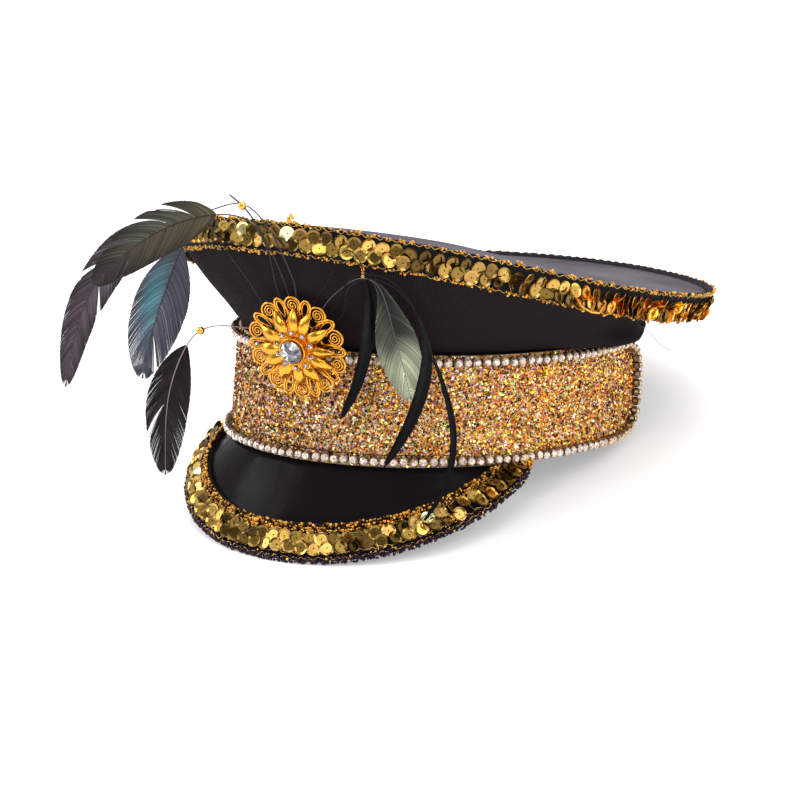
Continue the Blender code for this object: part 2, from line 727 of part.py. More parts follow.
def brooch_petals(stand):
    mesh = star_mesh(
        "brooch_petals", PETALS, PETAL_ROOT, PETAL_REACH, STAR_REACH + PETAL_WALL / 2,
        PETAL_BASE, PETAL_LIFT)
    piece = add_piece("brooch_petals", mesh, BROOCH_GOLD)
    thicken(piece, PETAL_WALL, 1)
    piece.matrix_world = stand


def brooch_star(stand):
    mesh = star_mesh(
        "brooch_star", STONES, STAR_ROOT, STAR_REACH, STAR_ROOT / 2, STAR_BASE, 0.0)
    piece = add_piece("brooch_star", mesh, BROOCH_GOLD)
    thicken(piece, STAR_WALL, 1)
    piece.matrix_world = stand


def brooch_setting(stand):
    """A shallow cup with a thin raised wall round the crystal."""
    outer = SETTING_DIAMETER / 2
    inner = outer - SETTING_WALL
    top = SETTING_BASE + SETTING_HEIGHT
    floor = SETTING_BASE + SETTING_WALL
    profile = [
        (0, floor), (inner, floor), (inner, top), (outer, top), (outer, SETTING_BASE),
        (0, SETTING_BASE)]
    piece = add_piece("brooch_setting", turned_mesh("brooch_setting", profile), BROOCH_GOLD)
    screw(piece, SETTING_STEPS)
    piece.matrix_world = stand


def cut_stone(name, diameter, height, base, facets, offset, stand):
    """A cut stone: flat table, bevelled crown and tapering back."""
    girdle = diameter / 2
    top = base + height
    profile = [
        (0, top), (girdle * TABLE_SHARE, top), (girdle, base + height * GIRDLE_SHARE),
        (girdle * CULET_SHARE, base), (0, base)]
    piece = add_piece(name, turned_mesh(name, profile), CRYSTAL, math.radians(5))
    screw(piece, facets)
    piece.matrix_world = stand @ Matrix.Translation(offset)


def brooch_stones(stand):
    cut_stone(
        "brooch_crystal", CRYSTAL_DIAMETER, CRYSTAL_HEIGHT, CRYSTAL_BASE, CRYSTAL_FACETS,
        Vector((0, 0, 0)), stand)
    for i in range(STONES):
        angle = FULL_TURN * (i + 0.5) / STONES
        offset = Vector((math.cos(angle), math.sin(angle), 0)) * STONE_CIRCLE
        cut_stone(
            f"brooch_stone_{i + 1:02d}", STONE_DIAMETER, STONE_HEIGHT, SETTING_BASE, STONE_FACETS,
            offset, stand)


# Feathers: each a quill that opens into a thin lens-shaped vane

def spray_route(name, clock, stand):
    """The quill's route: from behind the brooch, past its edge and through its stations."""
    swing = math.radians(90 - clock)
    aim = Vector((math.cos(swing), math.sin(swing), 0))
    quill = QUILL_DIAMETER / 2
    points = []
    for radius, gaps in (
            (ROOT_RADIUS, 1.5), (BROOCH_RADIUS - 2 * QUILL_DIAMETER, 4),
            (BROOCH_RADIUS + 3 * QUILL_DIAMETER, 4)):
        points.append(stand @ (aim * radius - Vector((0, 0, quill + gaps * GAP))))
    front = rim_height(0)
    for angle, height, stand_off in ROUTES[name]:
        points.append(hull_point(
            math.radians(angle), height * front, stand_off * SPRAY_REACH))
    return points


def smooth_line(points, fineness):
    """A smooth line through unevenly spaced points, with fineness short steps to a span."""
    spans = [(end - start).length for start, end in zip(points, points[1:])]
    slopes = [(end - start) / span for start, end, span in zip(points, points[1:], spans)]
    heads = [slopes[0]]
    for i in range(1, len(spans)):
        share = spans[i - 1] / (spans[i - 1] + spans[i])
        heads.append(mix(slopes[i - 1], slopes[i], share))
    heads.append(slopes[-1])
    line = []
    for i in range(len(spans)):
        for j in range(fineness):
            t = j / fineness
            line.append(
                points[i] * (2 * t ** 3 - 3 * t ** 2 + 1)
                + points[i + 1] * (3 * t ** 2 - 2 * t ** 3)
                + heads[i] * spans[i] * (t ** 3 - 2 * t ** 2 + t)
                + heads[i + 1] * spans[i] * (t ** 3 - t ** 2))
    line.append(points[-1])
    return line


def measure_line(line):
    """The distance along the line at each of its points."""
    distances = [0.0]
    for start, end in zip(line, line[1:]):
        distances.append(distances[-1] + (end - start).length)
    return distances


def point_at(line, distances, distance):
    """The point and direction at a distance along the line."""
    distance = min(max(distance, 0.0), distances[-1])
    for i in range(len(line) - 1):
        if distance <= distances[i + 1]:
            break
    share = (distance - distances[i]) / (distances[i + 1] - distances[i])
    return mix(line[i], line[i + 1], share), (line[i + 1] - line[i]).normalized()


def loft_along(name, line, stations):
    """A closed solid through stations of (distance, half width, half thickness)."""
    distances = measure_line(line)
    last = len(stations) - 1

    def place(across, along):
        distance, half_width, half_wall = stations[round(along * last)]
        point, direction = point_at(line, distances, distance)
        wide = direction.cross(FACING).normalized()
        thick = direction.cross(wide)
        swing = FULL_TURN * across
        return point + wide * half_width * math.cos(swing) + thick * half_wall * math.sin(swing)

    return sheet_mesh(name, SIDES, last, place)


def bead_stations(middle, quill):
    """Stations that swell from the wire's radius to a round bead and back."""
    radius = BEAD_DIAMETER / 2
    stations = []
    for share in (-0.97, -0.75, -0.3, 0.3, 0.75, 0.97):
        swell = max(radius * math.sqrt(1 - share ** 2), quill)
        stations.append((middle + share * radius, swell, swell))
    return stations


def thread_bead(stations, middle, quill):
    """Puts a bead among a wire's stations."""
    half = BEAD_DIAMETER / 2
    before = [row for row in stations if row[0] < middle - half]
    after = [row for row in stations if row[0] > middle + half]
    return before + bead_stations(middle, quill) + after


def feather(name, stand):
    row = FEATHERS[name]
    line = smooth_line(spray_route(name, row.clock, stand), ROUTE_STEPS)
    length = measure_line(line)[-1]
    quill = QUILL_DIAMETER / 2
    stations = [(0, 0, 0)]
    for i in range(QUILL_SECTIONS):
        share = max(row.vane_start * i / QUILL_SECTIONS, QUILL_POINT)
        stations.append((length * share, quill, quill))
    power = math.log(0.5) / math.log(row.widest)
    for i in range(1, VANE_SECTIONS):
        share = (1 - math.cos(math.pi * i / VANE_SECTIONS)) / 2
        spread = math.sin(math.pi * share ** power) ** VANE_FULLNESS
        half_width = mix(quill, row.width * VANE_WIDTH / 2, spread)
        stations.append((length * mix(row.vane_start, 1, share), half_width, VANE_WALL / 2))
    stations.append((length, 0, 0))
    if row.bead:
        stations = thread_bead(stations, length * QUILL_BEAD_SHARE, quill)
    add_piece(name, loft_along(name, line, stations), row.finish)


def wire_bead(stand):
    line = smooth_line(spray_route("wire_bead", WIRE_CLOCK, stand), ROUTE_STEPS)
    length = measure_line(line)[-1]
    quill = QUILL_DIAMETER / 2
    stations = [(0, 0, 0)]
    for i in range(1, 2 * QUILL_SECTIONS):
        stations.append((length * i / (2 * QUILL_SECTIONS), quill, quill))
    stations.append((length, 0, 0))
    stations = thread_bead(stations, length * WIRE_BEAD_SHARE, quill)
    add_piece("wire_bead", loft_along("wire_bead", line, stations), BROOCH_GOLD)


def evaluated_points(names):
    """World points of the named pieces, with their modifiers applied."""
    graph = bpy.context.evaluated_depsgraph_get()
    points = []
    for name in names:
        shape = bpy.data.objects[name].evaluated_get(graph)
        mesh = shape.to_mesh()
        points.extend(shape.matrix_world @ vertex.co for vertex in mesh.vertices)
        shape.to_mesh_clear()
    return points


def resting_lean():
    """The backward lean at which the peak and the band's back reach equally low."""
    front = evaluated_points(["peak", "peak_trim"])
    back = evaluated_points(["head_band", "glitter_band", "crystal_chain"])
    gentle = 0.0
    steep = STEEPEST_LEAN
    for _ in range(LEAN_HALVINGS):
        lean = (gentle + steep) / 2
        turn = Matrix.Rotation(-lean, 3, "X")
        lowest_front = min((turn @ point).z for point in front)
        lowest_back = min((turn @ point).z for point in back)
        if lowest_front < lowest_back:
            gentle = lean
        else:
            steep = lean
    return lean


def stand_on_floor():
    """Leans the whole cap back, and puts the middle of its underside at the origin."""
    bpy.context.view_layer.update()
    lean = Matrix.Rotation(-resting_lean(), 4, "X")
    points = [lean @ point for point in evaluated_points([piece.name for piece in PART.objects])]
    low = Vector([min(point[i] for point in points) for i in range(3)])
    high = Vector([max(point[i] for point in points) for i in range(3)])
    rest = bpy.data.objects.new("resting_place", None)
    PART.objects.link(rest)
    for piece in list(PART.objects) + list(TOOLS.objects):
        if piece is not rest:
            piece.parent = rest
    rest.matrix_world = Matrix.Translation((
        -(low.x + high.x) / 2, -(low.y + high.y) / 2, -low.z)) @ lean


def build():
    for old in list(bpy.data.objects):
        bpy.data.objects.remove(old, do_unlink=True)
    bpy.context.scene.collection.children.link(PART)
    bpy.context.scene.collection.children.link(TOOLS)
    head_band()
    glitter_band()
    crystal_chain()
    crown_side()
    crown_top()
    rim_trim()
    peak()
    peak_trim()
    stand = brooch_matrix()
    brooch_filigree(stand)
    brooch_petals(stand)
    brooch_star(stand)
    brooch_setting(stand)
    brooch_stones(stand)
    for name in FEATHERS:
        feather(name, stand)
    wire_bead(stand)
    stand_on_floor()


build()
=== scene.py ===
"""Captain's hat: glitter band, sequin tape, patent peak, flower brooch and feathers.

Metres, +Z up. The hat is made level, front towards -Y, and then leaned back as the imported
model rests. Each section makes one piece of the hat, in the order in which it is put together.
"""
import json
import random
from collections import namedtuple
from math import atan2, copysign, cos, exp, log, pi, radians, sin, sqrt

import bpy
import numpy as np
from mathutils import Matrix, Vector


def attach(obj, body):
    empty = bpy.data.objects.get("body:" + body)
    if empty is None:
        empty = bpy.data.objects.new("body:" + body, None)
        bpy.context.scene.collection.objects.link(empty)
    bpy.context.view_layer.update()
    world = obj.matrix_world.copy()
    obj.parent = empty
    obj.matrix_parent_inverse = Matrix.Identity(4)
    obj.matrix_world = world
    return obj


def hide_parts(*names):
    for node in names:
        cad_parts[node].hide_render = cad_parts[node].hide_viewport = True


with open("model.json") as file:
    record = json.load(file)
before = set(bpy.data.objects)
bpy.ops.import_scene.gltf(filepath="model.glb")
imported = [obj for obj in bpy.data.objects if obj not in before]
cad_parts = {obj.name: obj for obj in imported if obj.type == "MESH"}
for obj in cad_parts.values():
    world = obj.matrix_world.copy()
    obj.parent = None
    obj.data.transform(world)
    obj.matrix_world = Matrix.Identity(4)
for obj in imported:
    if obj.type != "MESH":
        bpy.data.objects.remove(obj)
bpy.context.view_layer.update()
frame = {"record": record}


# Resting place, camera, lights and floor
# The hat lies by itself on its peak and on the back of its band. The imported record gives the
# head opening's middle and the direction it faces, and with them the lean of the whole hat.
opening = next(mount for mount in frame["record"]["mounts"] if mount["name"] == "head_opening")
facing_down = Vector(opening["axis"])
REST = Matrix.Translation(opening["pos_m"]) @ Matrix.Rotation(
    atan2(facing_down.y, -facing_down.z), 4, "X")

CAMERA_PLACE = Vector((0.58325, -0.91400, 0.20909))
CAMERA_RIGHT = Vector((0.831416, 0.554890, 0.029081))
CAMERA_UP = Vector((-0.124114, 0.134443, 0.983118))
CAMERA_BACK = Vector((0.541612, -0.820989, 0.180648))
LENS = 110.75
SENSOR = 36.0

camera = bpy.data.objects.new("camera", bpy.data.cameras.new("camera"))
camera.data.lens = LENS
camera.data.sensor_width = SENSOR
camera.data.clip_start = 0.05
camera.data.clip_end = 20
turned = Matrix((CAMERA_RIGHT, CAMERA_UP, CAMERA_BACK)).transposed().to_4x4()
camera.matrix_world = REST @ Matrix.Translation(CAMERA_PLACE) @ turned
bpy.context.scene.collection.objects.link(camera)
bpy.context.scene.camera = camera


LIT_SPOT = Vector((0, 0, 0.08))
FLOOR_SIZE = 12


def soft_light(name, place, size, power):
    """A square soft box that looks at the hat."""
    lamp = bpy.data.lights.new(name, "AREA")
    lamp.size = size
    lamp.energy = power
    light = bpy.data.objects.new(name, lamp)
    light.location = place
    light.rotation_euler = (LIT_SPOT - light.location).to_track_quat("-Z", "Y").to_euler()
    bpy.context.scene.collection.objects.link(light)


soft_light("overhead_box", Vector((0.1, 0.2, 1.5)), 1.4, 14)
soft_light("left_box", Vector((-1.3, -0.6, 0.9)), 0.9, 12)
soft_light("right_box", Vector((1.2, -0.2, 0.9)), 0.9, 7)
soft_light("front_box", Vector((0.5, -1.6, 1.2)), 0.8, 7)


def node(owner, kind, inputs=None, **settings):
    """Adds one node to a finish or the sky. An input is a value or another node's output."""
    made = owner.node_tree.nodes.new(kind)
    for setting, value in settings.items():
        setattr(made, setting, value)
    for socket, value in (inputs or {}).items():
        if isinstance(value, bpy.types.NodeSocket):
            owner.node_tree.links.new(value, made.inputs[socket])
        else:
            made.inputs[socket].default_value = value
    return made


# The studio is dim on the camera's side, which keeps the satin black, and bright behind the hat
CAMERA_SIDE = (0.55, -0.83, 0.0)
world = bpy.data.worlds.new("studio")
world.use_nodes = True
towards_front = node(world, "ShaderNodeVectorMath", {
    0: node(world, "ShaderNodeTexCoord").outputs["Generated"], 1: CAMERA_SIDE},
    operation="DOT_PRODUCT")
sky_strength = node(world, "ShaderNodeMapRange", {
    "Value": towards_front.outputs["Value"], "From Min": -0.4, "From Max": 0.9,
    "To Min": 0.85, "To Max": 0.16})
background = world.node_tree.nodes["Background"]
background.inputs["Color"].default_value = (1, 1, 1, 1)
world.node_tree.links.new(sky_strength.outputs["Result"], background.inputs["Strength"])
bpy.context.scene.world = world
bpy.context.scene.view_settings.view_transform = "Standard"


def make_finish(name, colour, roughness, metallic=0.0, more=None, mottle=None):
    """A Principled finish. Mottle is the scale and both ends of a noise in its roughness."""
    finish = bpy.data.materials.new(name)
    finish.use_nodes = True
    shader = finish.node_tree.nodes["Principled BSDF"]
    shader.inputs["Base Color"].default_value = (*colour, 1)
    shader.inputs["Roughness"].default_value = roughness
    shader.inputs["Metallic"].default_value = metallic
    for socket, value in (more or {}).items():
        shader.inputs[socket].default_value = value
    if mottle:
        plug(finish, "Roughness", speckle(finish, *mottle))
    return finish


def plug(finish, socket, output):
    """Feeds a node's output to one of the shader's sockets."""
    shader = finish.node_tree.nodes["Principled BSDF"]
    finish.node_tree.links.new(output, shader.inputs[socket])


def speckle(finish, scale, low, high, detail=3.0):
    """Noise between two values."""
    place = node(finish, "ShaderNodeTexCoord").outputs["Object"]
    noise = node(finish, "ShaderNodeTexNoise", {"Vector": place, "Scale": scale, "Detail": detail})
    return node(finish, "ShaderNodeMapRange", {
        "Value": noise.outputs["Fac"], "From Min": 0.3, "From Max": 0.7,
        "To Min": low, "To Max": high}).outputs["Result"]


def dent(finish, height, strength, depth):
    """Bump of a real depth in metres."""
    bump = node(finish, "ShaderNodeBump", {
        "Height": height, "Strength": strength, "Distance": depth})
    plug(finish, "Normal", bump.outputs["Normal"])


paper = make_finish("pale_floor", (0.78, 0.78, 0.78), 0.7, more={
    "Emission Color": (1, 1, 1, 1), "Emission Strength": 0.36}, mottle=(30, 0.6, 0.8))
bpy.ops.mesh.primitive_plane_add(size=FLOOR_SIZE, location=(0, 0, 0))
floor = bpy.context.object
floor.name = "floor"
floor.data.materials.append(paper)


# Head band
# A ring of firm black ribbed ribbon that grips the head, 46 mm high and cut narrower at the
# back. Everything else is sewn or glued to it.
HEAD_LENGTH = 0.2007
HEAD_WIDTH = 0.1561
BAND_TOP_LENGTH = 0.1860
BAND_TOP_WIDTH = 0.1582
BAND_HEIGHT = 0.0457
BAND_WALL = 0.0025
NOTCH_RISE = 0.0140
NOTCH_START = 0.95
NOTCH_END = 1.20
PANEL_END = radians(112)
GAP = 0.0003
FULL_TURN = 2 * pi
HEAD_ROUND = 0.57
WAVE_LENGTH = 0.314


def mix(first, last, share):
    return first + (last - first) * share


def clamp(value, low=0.0, high=1.0):
    return min(max(value, low), high)


def ease(value, start, end):
    """Smooth step from 0 at start to 1 at end."""
    share = clamp((value - start) / (end - start))
    return share * share * (3 - 2 * share)


def band_point(angle, height, outset):
    """A point outset from the inside of the head band, at an angle from the front."""
    share = height / BAND_HEIGHT
    half_width = mix(HEAD_WIDTH, BAND_TOP_WIDTH, share) / 2 + outset
    half_length = mix(HEAD_LENGTH, BAND_TOP_LENGTH, share) / 2 + outset
    return Vector((half_width * sin(angle), -half_length * cos(angle), height))


def band_outward(angle):
    return Vector((sin(angle) / HEAD_WIDTH, -cos(angle) / HEAD_LENGTH, 0)).normalized()


def add_piece(name, points, faces, finish, slot, replaced=(), lay=None, tint=None, smooth=True):
    """A piece of the hat from level points: leaned back, dressed and riding on the hat."""
    mesh = bpy.data.meshes.new(name)
    mesh.from_pydata(np.asarray(points).tolist(), [], faces)
    mesh.transform(REST)
    if lay is not None:
        spots = mesh.attributes.new("lay", "FLOAT_VECTOR", "POINT")
        spots.data.foreach_set("vector", np.asarray(lay, dtype=float).ravel())
    if tint is not None:
        colours = mesh.color_attributes.new("tint", "FLOAT_COLOR", "POINT")
        shades = np.ones((len(tint), 4))
        shades[:, :3] = tint
        colours.data.foreach_set("color", shades.ravel())
    if smooth:
        mesh.shade_smooth()
    mesh.materials.append(finish)
    piece = bpy.data.objects.new(name, mesh)
    bpy.context.scene.collection.objects.link(piece)
    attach(piece, "root")
    if replaced:
        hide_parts(*replaced)
    return piece


def grid(columns, rows, place):
    """Points and faces of a sheet laid out by place(across, along), both 0 to 1."""
    points = []
    for i in range(columns + 1):
        for j in range(rows + 1):
            points.append(place(i / columns, j / rows))
    faces = []
    for i in range(columns):
        for j in range(rows):
            corner = i * (rows + 1) + j
            faces.append((corner, corner + rows + 1, corner + rows + 2, corner + 1))
    return points, faces


def woven_lay(columns, rows, width, height):
    """Where each point of a sheet lies on its cloth, in metres."""
    return [(width * i / columns, height * j / rows, 0)
            for i in range(columns + 1) for j in range(rows + 1)]


def thicken(piece, wall, side=-1):
    solidify = piece.modifiers.new("wall", "SOLIDIFY")
    solidify.thickness = wall
    solidify.offset = side
    solidify.use_even_offset = True


def add_sheet(name, columns, rows, place, wall, finish, slot, replaced, lay=None, side=-1):
    """A sheet of a real thickness. Its lay is the flat cloth's width and height in metres."""
    points, faces = grid(columns, rows, place)
    sheet = add_piece(name, points, faces, finish, slot, replaced,
                      lay=lay and woven_lay(columns, rows, *lay))
    thicken(sheet, wall, side)


def cloth_spot(finish):
    """The lay of the cloth as texture coordinates, in millimetres."""
    lay = node(finish, "ShaderNodeAttribute", attribute_name="lay")
    return node(finish, "ShaderNodeVectorMath", {
        0: lay.outputs["Vector"], 1: (1000, 1000, 1)}, operation="MULTIPLY").outputs["Vector"]


def ribs(finish, spots, direction, pitch_mm):
    """Fine threads across the cloth, as a height from 0 to 1."""
    wave = node(finish, "ShaderNodeTexWave", {
        "Vector": spots, "Scale": WAVE_LENGTH / pitch_mm, "Distortion": 0.4,
        "Detail": 1.0, "Detail Scale": 2.0}, bands_direction=direction)
    return wave.outputs["Fac"]


def head_band_point(across, along):
    angle = (across - 0.5) * FULL_TURN
    rise = NOTCH_RISE * ease(abs(angle) / PANEL_END, NOTCH_START, NOTCH_END)
    return band_point(angle, mix(rise, BAND_HEIGHT, along), BAND_WALL)


ribbon = make_finish("black_ribbon", (0.008, 0.007, 0.009), 0.8, more={
    "Specular IOR Level": 0.2}, mottle=(400, 0.65, 0.95))
dent(ribbon, ribs(ribbon, cloth_spot(ribbon), "X", 0.9), 0.7, 0.0002)
add_sheet("head_band_ribbon", 180, 12, head_band_point, BAND_WALL, ribbon, "black_band",
          ["head_band"], lay=(HEAD_ROUND, BAND_HEIGHT))


# Crown wall
# Black satin over a thin stiffener. At the front it flares straight up to the rim; towards
# the back it slumps into a fold over the band.
RIM_LENGTH = 0.2557
RIM_WIDTH = 0.2275
RIM_SHIFT = 0.0024
RIM_EGG = 0.031
RIM_HEIGHT = 0.0756
RIM_RISE = 0.0189
RIM_SADDLE = 0.0060
CLOTH_WALL = 0.0015
SLUMP_BULGE = 0.0220
SLUMP_TUCK = 0.0080
FOLD_OVER = 0.0050
FOLD_DROOP = 0.0015
FOLD_SHARE = 0.08
HOLLOW_SHARE = 0.45
HOLLOW = [radians(turn) for turn in (100, 122, 128, 150)]
SLUMP_START = radians(60)
SLUMP_END = radians(95)
GATHER_DEPTH = 0.0012
GATHERS = 15
CREASE_DEPTH = 0.0007
WRINKLE_DEPTH = 0.00035
FLARE_SHARE = 5 / 7
WALL_ROUND = 0.70
WALL_TALL = 0.06
TAPE_WIDTH = 0.0128
TAPE_WALL = 0.0024
TAPE_OVERLAP = 0.0012
TAPE_TUCK = radians(34)
TUCK_START = radians(55)
TUCK_END = radians(125)


def rim_height(angle):
    return RIM_HEIGHT + RIM_RISE * cos(angle) + RIM_SADDLE * cos(2 * angle)


def rim_point(angle, inset, drop):
    """A point inside the rim's upper outer edge and below it."""
    egg = 1 + RIM_EGG * cos(3 * angle)
    half_width = RIM_WIDTH / 2 * egg - inset
    half_length = RIM_LENGTH / 2 * egg - inset
    return Vector((
        half_width * sin(angle),
        RIM_SHIFT - half_length * cos(angle),
        rim_height(angle) - drop))


def tape_tilt(angle):
    return TAPE_TUCK * ease(abs(angle), TUCK_START, TUCK_END)


def behind_tape(angle, drop):
    """A point just behind the rim's tape, at a drop below the rim's upper edge."""
    tilt = tape_tilt(angle)
    depth = TAPE_WALL + 1.2 * GAP
    along = (drop + depth * sin(tilt)) / cos(tilt)
    return rim_point(angle, along * sin(tilt) + depth * cos(tilt), drop)


def wall_foot(angle):
    return band_point(angle, BAND_HEIGHT, BAND_WALL) + Vector((0, 0, GAP * 1.5))


def wall_hem(angle):
    return behind_tape(angle, (TAPE_WIDTH - TAPE_OVERLAP) * cos(tape_tilt(angle)))


def crown_wall_point(across, along):
    """Up the flare to the tape, then straight up behind it, with small soft creases."""
    angle = (across - 0.5) * FULL_TURN
    foot = wall_foot(angle)
    hem = wall_hem(angle)
    if along > FLARE_SHARE:
        top = behind_tape(angle, CLOTH_WALL * (1 + sin(tape_tilt(angle))) + 3 * GAP)
        return mix(hem, top, (along - FLARE_SHARE) / (1 - FLARE_SHARE))
    slump = ease(abs(angle), SLUMP_START, SLUMP_END)
    hollow = ease(abs(angle), HOLLOW[0], HOLLOW[1]) * (1 - ease(abs(angle), HOLLOW[2], HOLLOW[3]))
    fullness = 1 - HOLLOW_SHARE * hollow
    fold = foot + band_outward(angle) * SLUMP_BULGE * fullness
    crest = foot - band_outward(angle) * SLUMP_TUCK
    crest.z = hem.z
    fold = mix(mix(foot, hem, 1 / 3), fold, slump)
    crest = mix(mix(foot, hem, 2 / 3), crest, slump)
    t = along / FLARE_SHARE
    point = (foot * (1 - t) ** 3 + fold * 3 * t * (1 - t) ** 2
             + crest * 3 * t ** 2 * (1 - t) + hem * t ** 3)
    ripple = GATHER_DEPTH * slump * cos(GATHERS * angle)
    crease = CREASE_DEPTH * sin(9 * angle + 5 * t) * sin(4 * angle - 3 * t + 1)
    wrinkle = WRINKLE_DEPTH * slump * sin(24 * t + 17 * angle) * sin(3 * t + 5 * angle)
    hang = slump * (t / FOLD_SHARE) * exp(1 - t / FOLD_SHARE) * (1 - t)
    point.z -= FOLD_DROOP * hang
    creases = (ripple + crease + wrinkle) * sin(pi * t)
    return point + band_outward(angle) * (creases + FOLD_OVER * fullness * hang)


def make_satin(name, dark, light, dull, gloss, more):
    """Black satin whose fine ribs show in its colour as well as in its surface."""
    finish = make_finish(name, dark, 0.5, more=more, mottle=(25, gloss, dull))
    spots = cloth_spot(finish)
    upright = ribs(finish, spots, "X", 0.7)
    threads = node(finish, "ShaderNodeMath", {
        0: upright, 1: ribs(finish, spots, "Y", 0.9)}, operation="ADD").outputs["Value"]
    dent(finish, threads, 0.5, 0.00014)
    shade = node(finish, "ShaderNodeValToRGB", {"Fac": upright})
    for element, colour in zip(shade.color_ramp.elements, (dark, light)):
        element.color = (*colour, 1)
    plug(finish, "Base Color", shade.outputs["Color"])
    return finish


satin = make_satin("black_satin", (0.0045, 0.0030, 0.0036), (0.0340, 0.0250, 0.0275), 0.95, 0.75,
                   {"Specular IOR Level": 0.02})
add_sheet("crown_wall_satin", 240, 28, crown_wall_point, CLOTH_WALL, satin, "black_satin",
          ["crown_side"], lay=(WALL_ROUND, WALL_TALL))


# Crown top
# One oval of the same satin stretched over the rim. It domes up towards the front. Its soft
# purple-grey sheen is painted light: its colour is lighter than the wall's, and its shader adds
# a little real sheen.
TOP_DOME = 0.0080
DOME_SHIFT = 0.50
DOME_FALLOFF = 3.0
TOP_DENT = 0.0010


def crown_top_point(across, along):
    angle = (across - 0.5) * FULL_TURN
    reach = 1 - along
    edge = behind_tape(angle, GAP + CLOTH_WALL)
    point = mix(Vector((0, RIM_SHIFT, 0)), edge, reach)
    rise = RIM_RISE * reach * cos(angle) + RIM_SADDLE * reach ** 2 * cos(2 * angle)
    forward = reach * cos(angle)
    sideways = reach * sin(angle)
    away = (forward - DOME_SHIFT) ** 2 + sideways ** 2
    dome = TOP_DOME * (1 - reach ** 2) * exp(-away * DOME_FALLOFF)
    waves = TOP_DENT * (1 - reach ** 4) * sin(5 * forward + 2) * sin(6 * sideways + 1)
    point.z = RIM_HEIGHT - GAP + rise + dome + waves
    return point


# Painted sheen: the black satin again, with a lighter and more purple colour
painted_sheen_satin = make_satin("painted_sheen_satin", (0.018, 0.012, 0.021), (0.032, 0.022, 0.039), 0.60, 0.42, {
    "Specular IOR Level": 0.16, "Sheen Weight": 0.07, "Sheen Tint": (0.70, 0.55, 0.74, 1)})
points, faces = grid(180, 40, crown_top_point)
crown_top = add_piece("crown_top_satin", points, faces, painted_sheen_satin, "black_satin", ["crown_top"],
                      lay=[(x, y, 0) for x, y, z in points])
thicken(crown_top, CLOTH_WALL)


# Rim tape
# A black braid sewn round the rim. Two zigzag rows of cupped gold sequins are stitched along
# its middle and a row of gold seed beads runs along each edge.
SEQUIN_RADIUS = 0.0030
SEQUIN_HOLE = 0.00032
SEQUIN_CUP = 0.0004
SEQUIN_FILM = 0.00012
SEQUIN_PITCH = 0.0028
SEQUIN_ROW = 0.0019
SEQUIN_SIDES = 18
SEQUIN_SCATTER = 10.5
LOOSE_SHARE = 0.10
LOOSE_SWING = 2.4
PAINTED_GLINT_SHARE = 0.028
WARM_SPREAD = 0.22
# Painted light and shade: factors that paint each sequin lighter or darker
SEQUIN_GLINTS = (0.26, 0.46, 0.75, 1.05, 1.45)
BEAD_RADIUS = 0.00058
CLUSTER_PITCH = 0.0039
BRAID_SINK = 0.0014
TAPE_ROUND = 0.76
CROWDED = (radians(74), radians(140))
CROWDED_GAIN = 1.1
CLUSTER_BEADS = 4
CLUSTER_SPREAD = 0.0010
THREAD_RADIUS = 0.00015
THREAD_SWING = 0.0007
THREAD_WAVE = 0.0039


def rim_tape_point(angle, down, out):
    """A point on the rim's tape: down from its upper edge and out from its face."""
    tilt = tape_tilt(angle)
    inset = down * sin(tilt) - out * cos(tilt)
    return rim_point(angle, inset, down * cos(tilt) + out * sin(tilt))


def placed_on(tape, turn, down, out):
    """A matrix on a tape: X along it, Y up it and Z out of it."""
    step = 0.002
    middle = tape(turn, down, out)
    along = (tape(turn + step, down, out) - middle).normalized()
    outward = (tape(turn, down, out + step) - middle).normalized()
    up = outward.cross(along).normalized()
    outward = along.cross(up)
    return Matrix((along, up, outward)).transposed().to_4x4(), middle


def distances_along(line):
    """How far along a line each of its points lies."""
    return np.concatenate([[0], np.cumsum(np.linalg.norm(np.diff(line, axis=0), axis=1))])


def even_turns(tape, start, end, down, pitch):
    """Turns along a tape that lie one pitch apart."""
    samples = np.linspace(start, end, 1200)
    line = np.array([tape(turn, down, 0) for turn in samples])
    lengths = distances_along(line)
    count = round(lengths[-1] / pitch)
    return np.interp((np.arange(count) + 0.5) / count * lengths[-1], lengths, samples)


def on_circle(radius, angle, height):
    return radius * cos(angle), radius * sin(angle), height


def sequin_shape():
    """A cupped disc with a small hole, both of its faces."""
    rings = [(SEQUIN_HOLE, 0.0), (SEQUIN_RADIUS * 0.70, 0.0),
             (SEQUIN_RADIUS * 0.86, SEQUIN_CUP * 0.5), (SEQUIN_RADIUS, SEQUIN_CUP)]
    loops = rings + [(radius, height - SEQUIN_FILM) for radius, height in reversed(rings)]
    points = [on_circle(radius, FULL_TURN * i / SEQUIN_SIDES, height)
              for radius, height in loops for i in range(SEQUIN_SIDES)]
    faces = []
    for ring in range(len(loops)):
        other = (ring + 1) % len(loops)
        for i in range(SEQUIN_SIDES):
            j = (i + 1) % SEQUIN_SIDES
            faces.append((ring * SEQUIN_SIDES + i, ring * SEQUIN_SIDES + j,
                          other * SEQUIN_SIDES + j, other * SEQUIN_SIDES + i))
    return np.array(points), [tuple(reversed(face)) for face in faces]


def turned_shape(profile, sides):
    """A closed turned solid from (radius, height) points that start and end on the axis."""
    points = [(0, 0, profile[0][1])]
    for radius, height in profile[1:-1]:
        points += [on_circle(radius, FULL_TURN * i / sides, height) for i in range(sides)]
    points.append((0, 0, profile[-1][1]))
    last = len(points) - 1
    faces = []
    for i in range(sides):
        j = (i + 1) % sides
        faces.append((0, 1 + i, 1 + j))
        for ring in range(len(profile) - 3):
            upper = 1 + ring * sides
            faces.append((upper + i, upper + sides + i, upper + sides + j, upper + j))
        faces.append((last - sides + j, last - sides + i, last))
    return np.array(points), faces


def ball_shape(radius, sides=8, rings=5):
    """A small round bead."""
    downs = [pi * ring / rings for ring in range(rings + 1)]
    return turned_shape([(radius * sin(down), radius * cos(down)) for down in downs], sides)


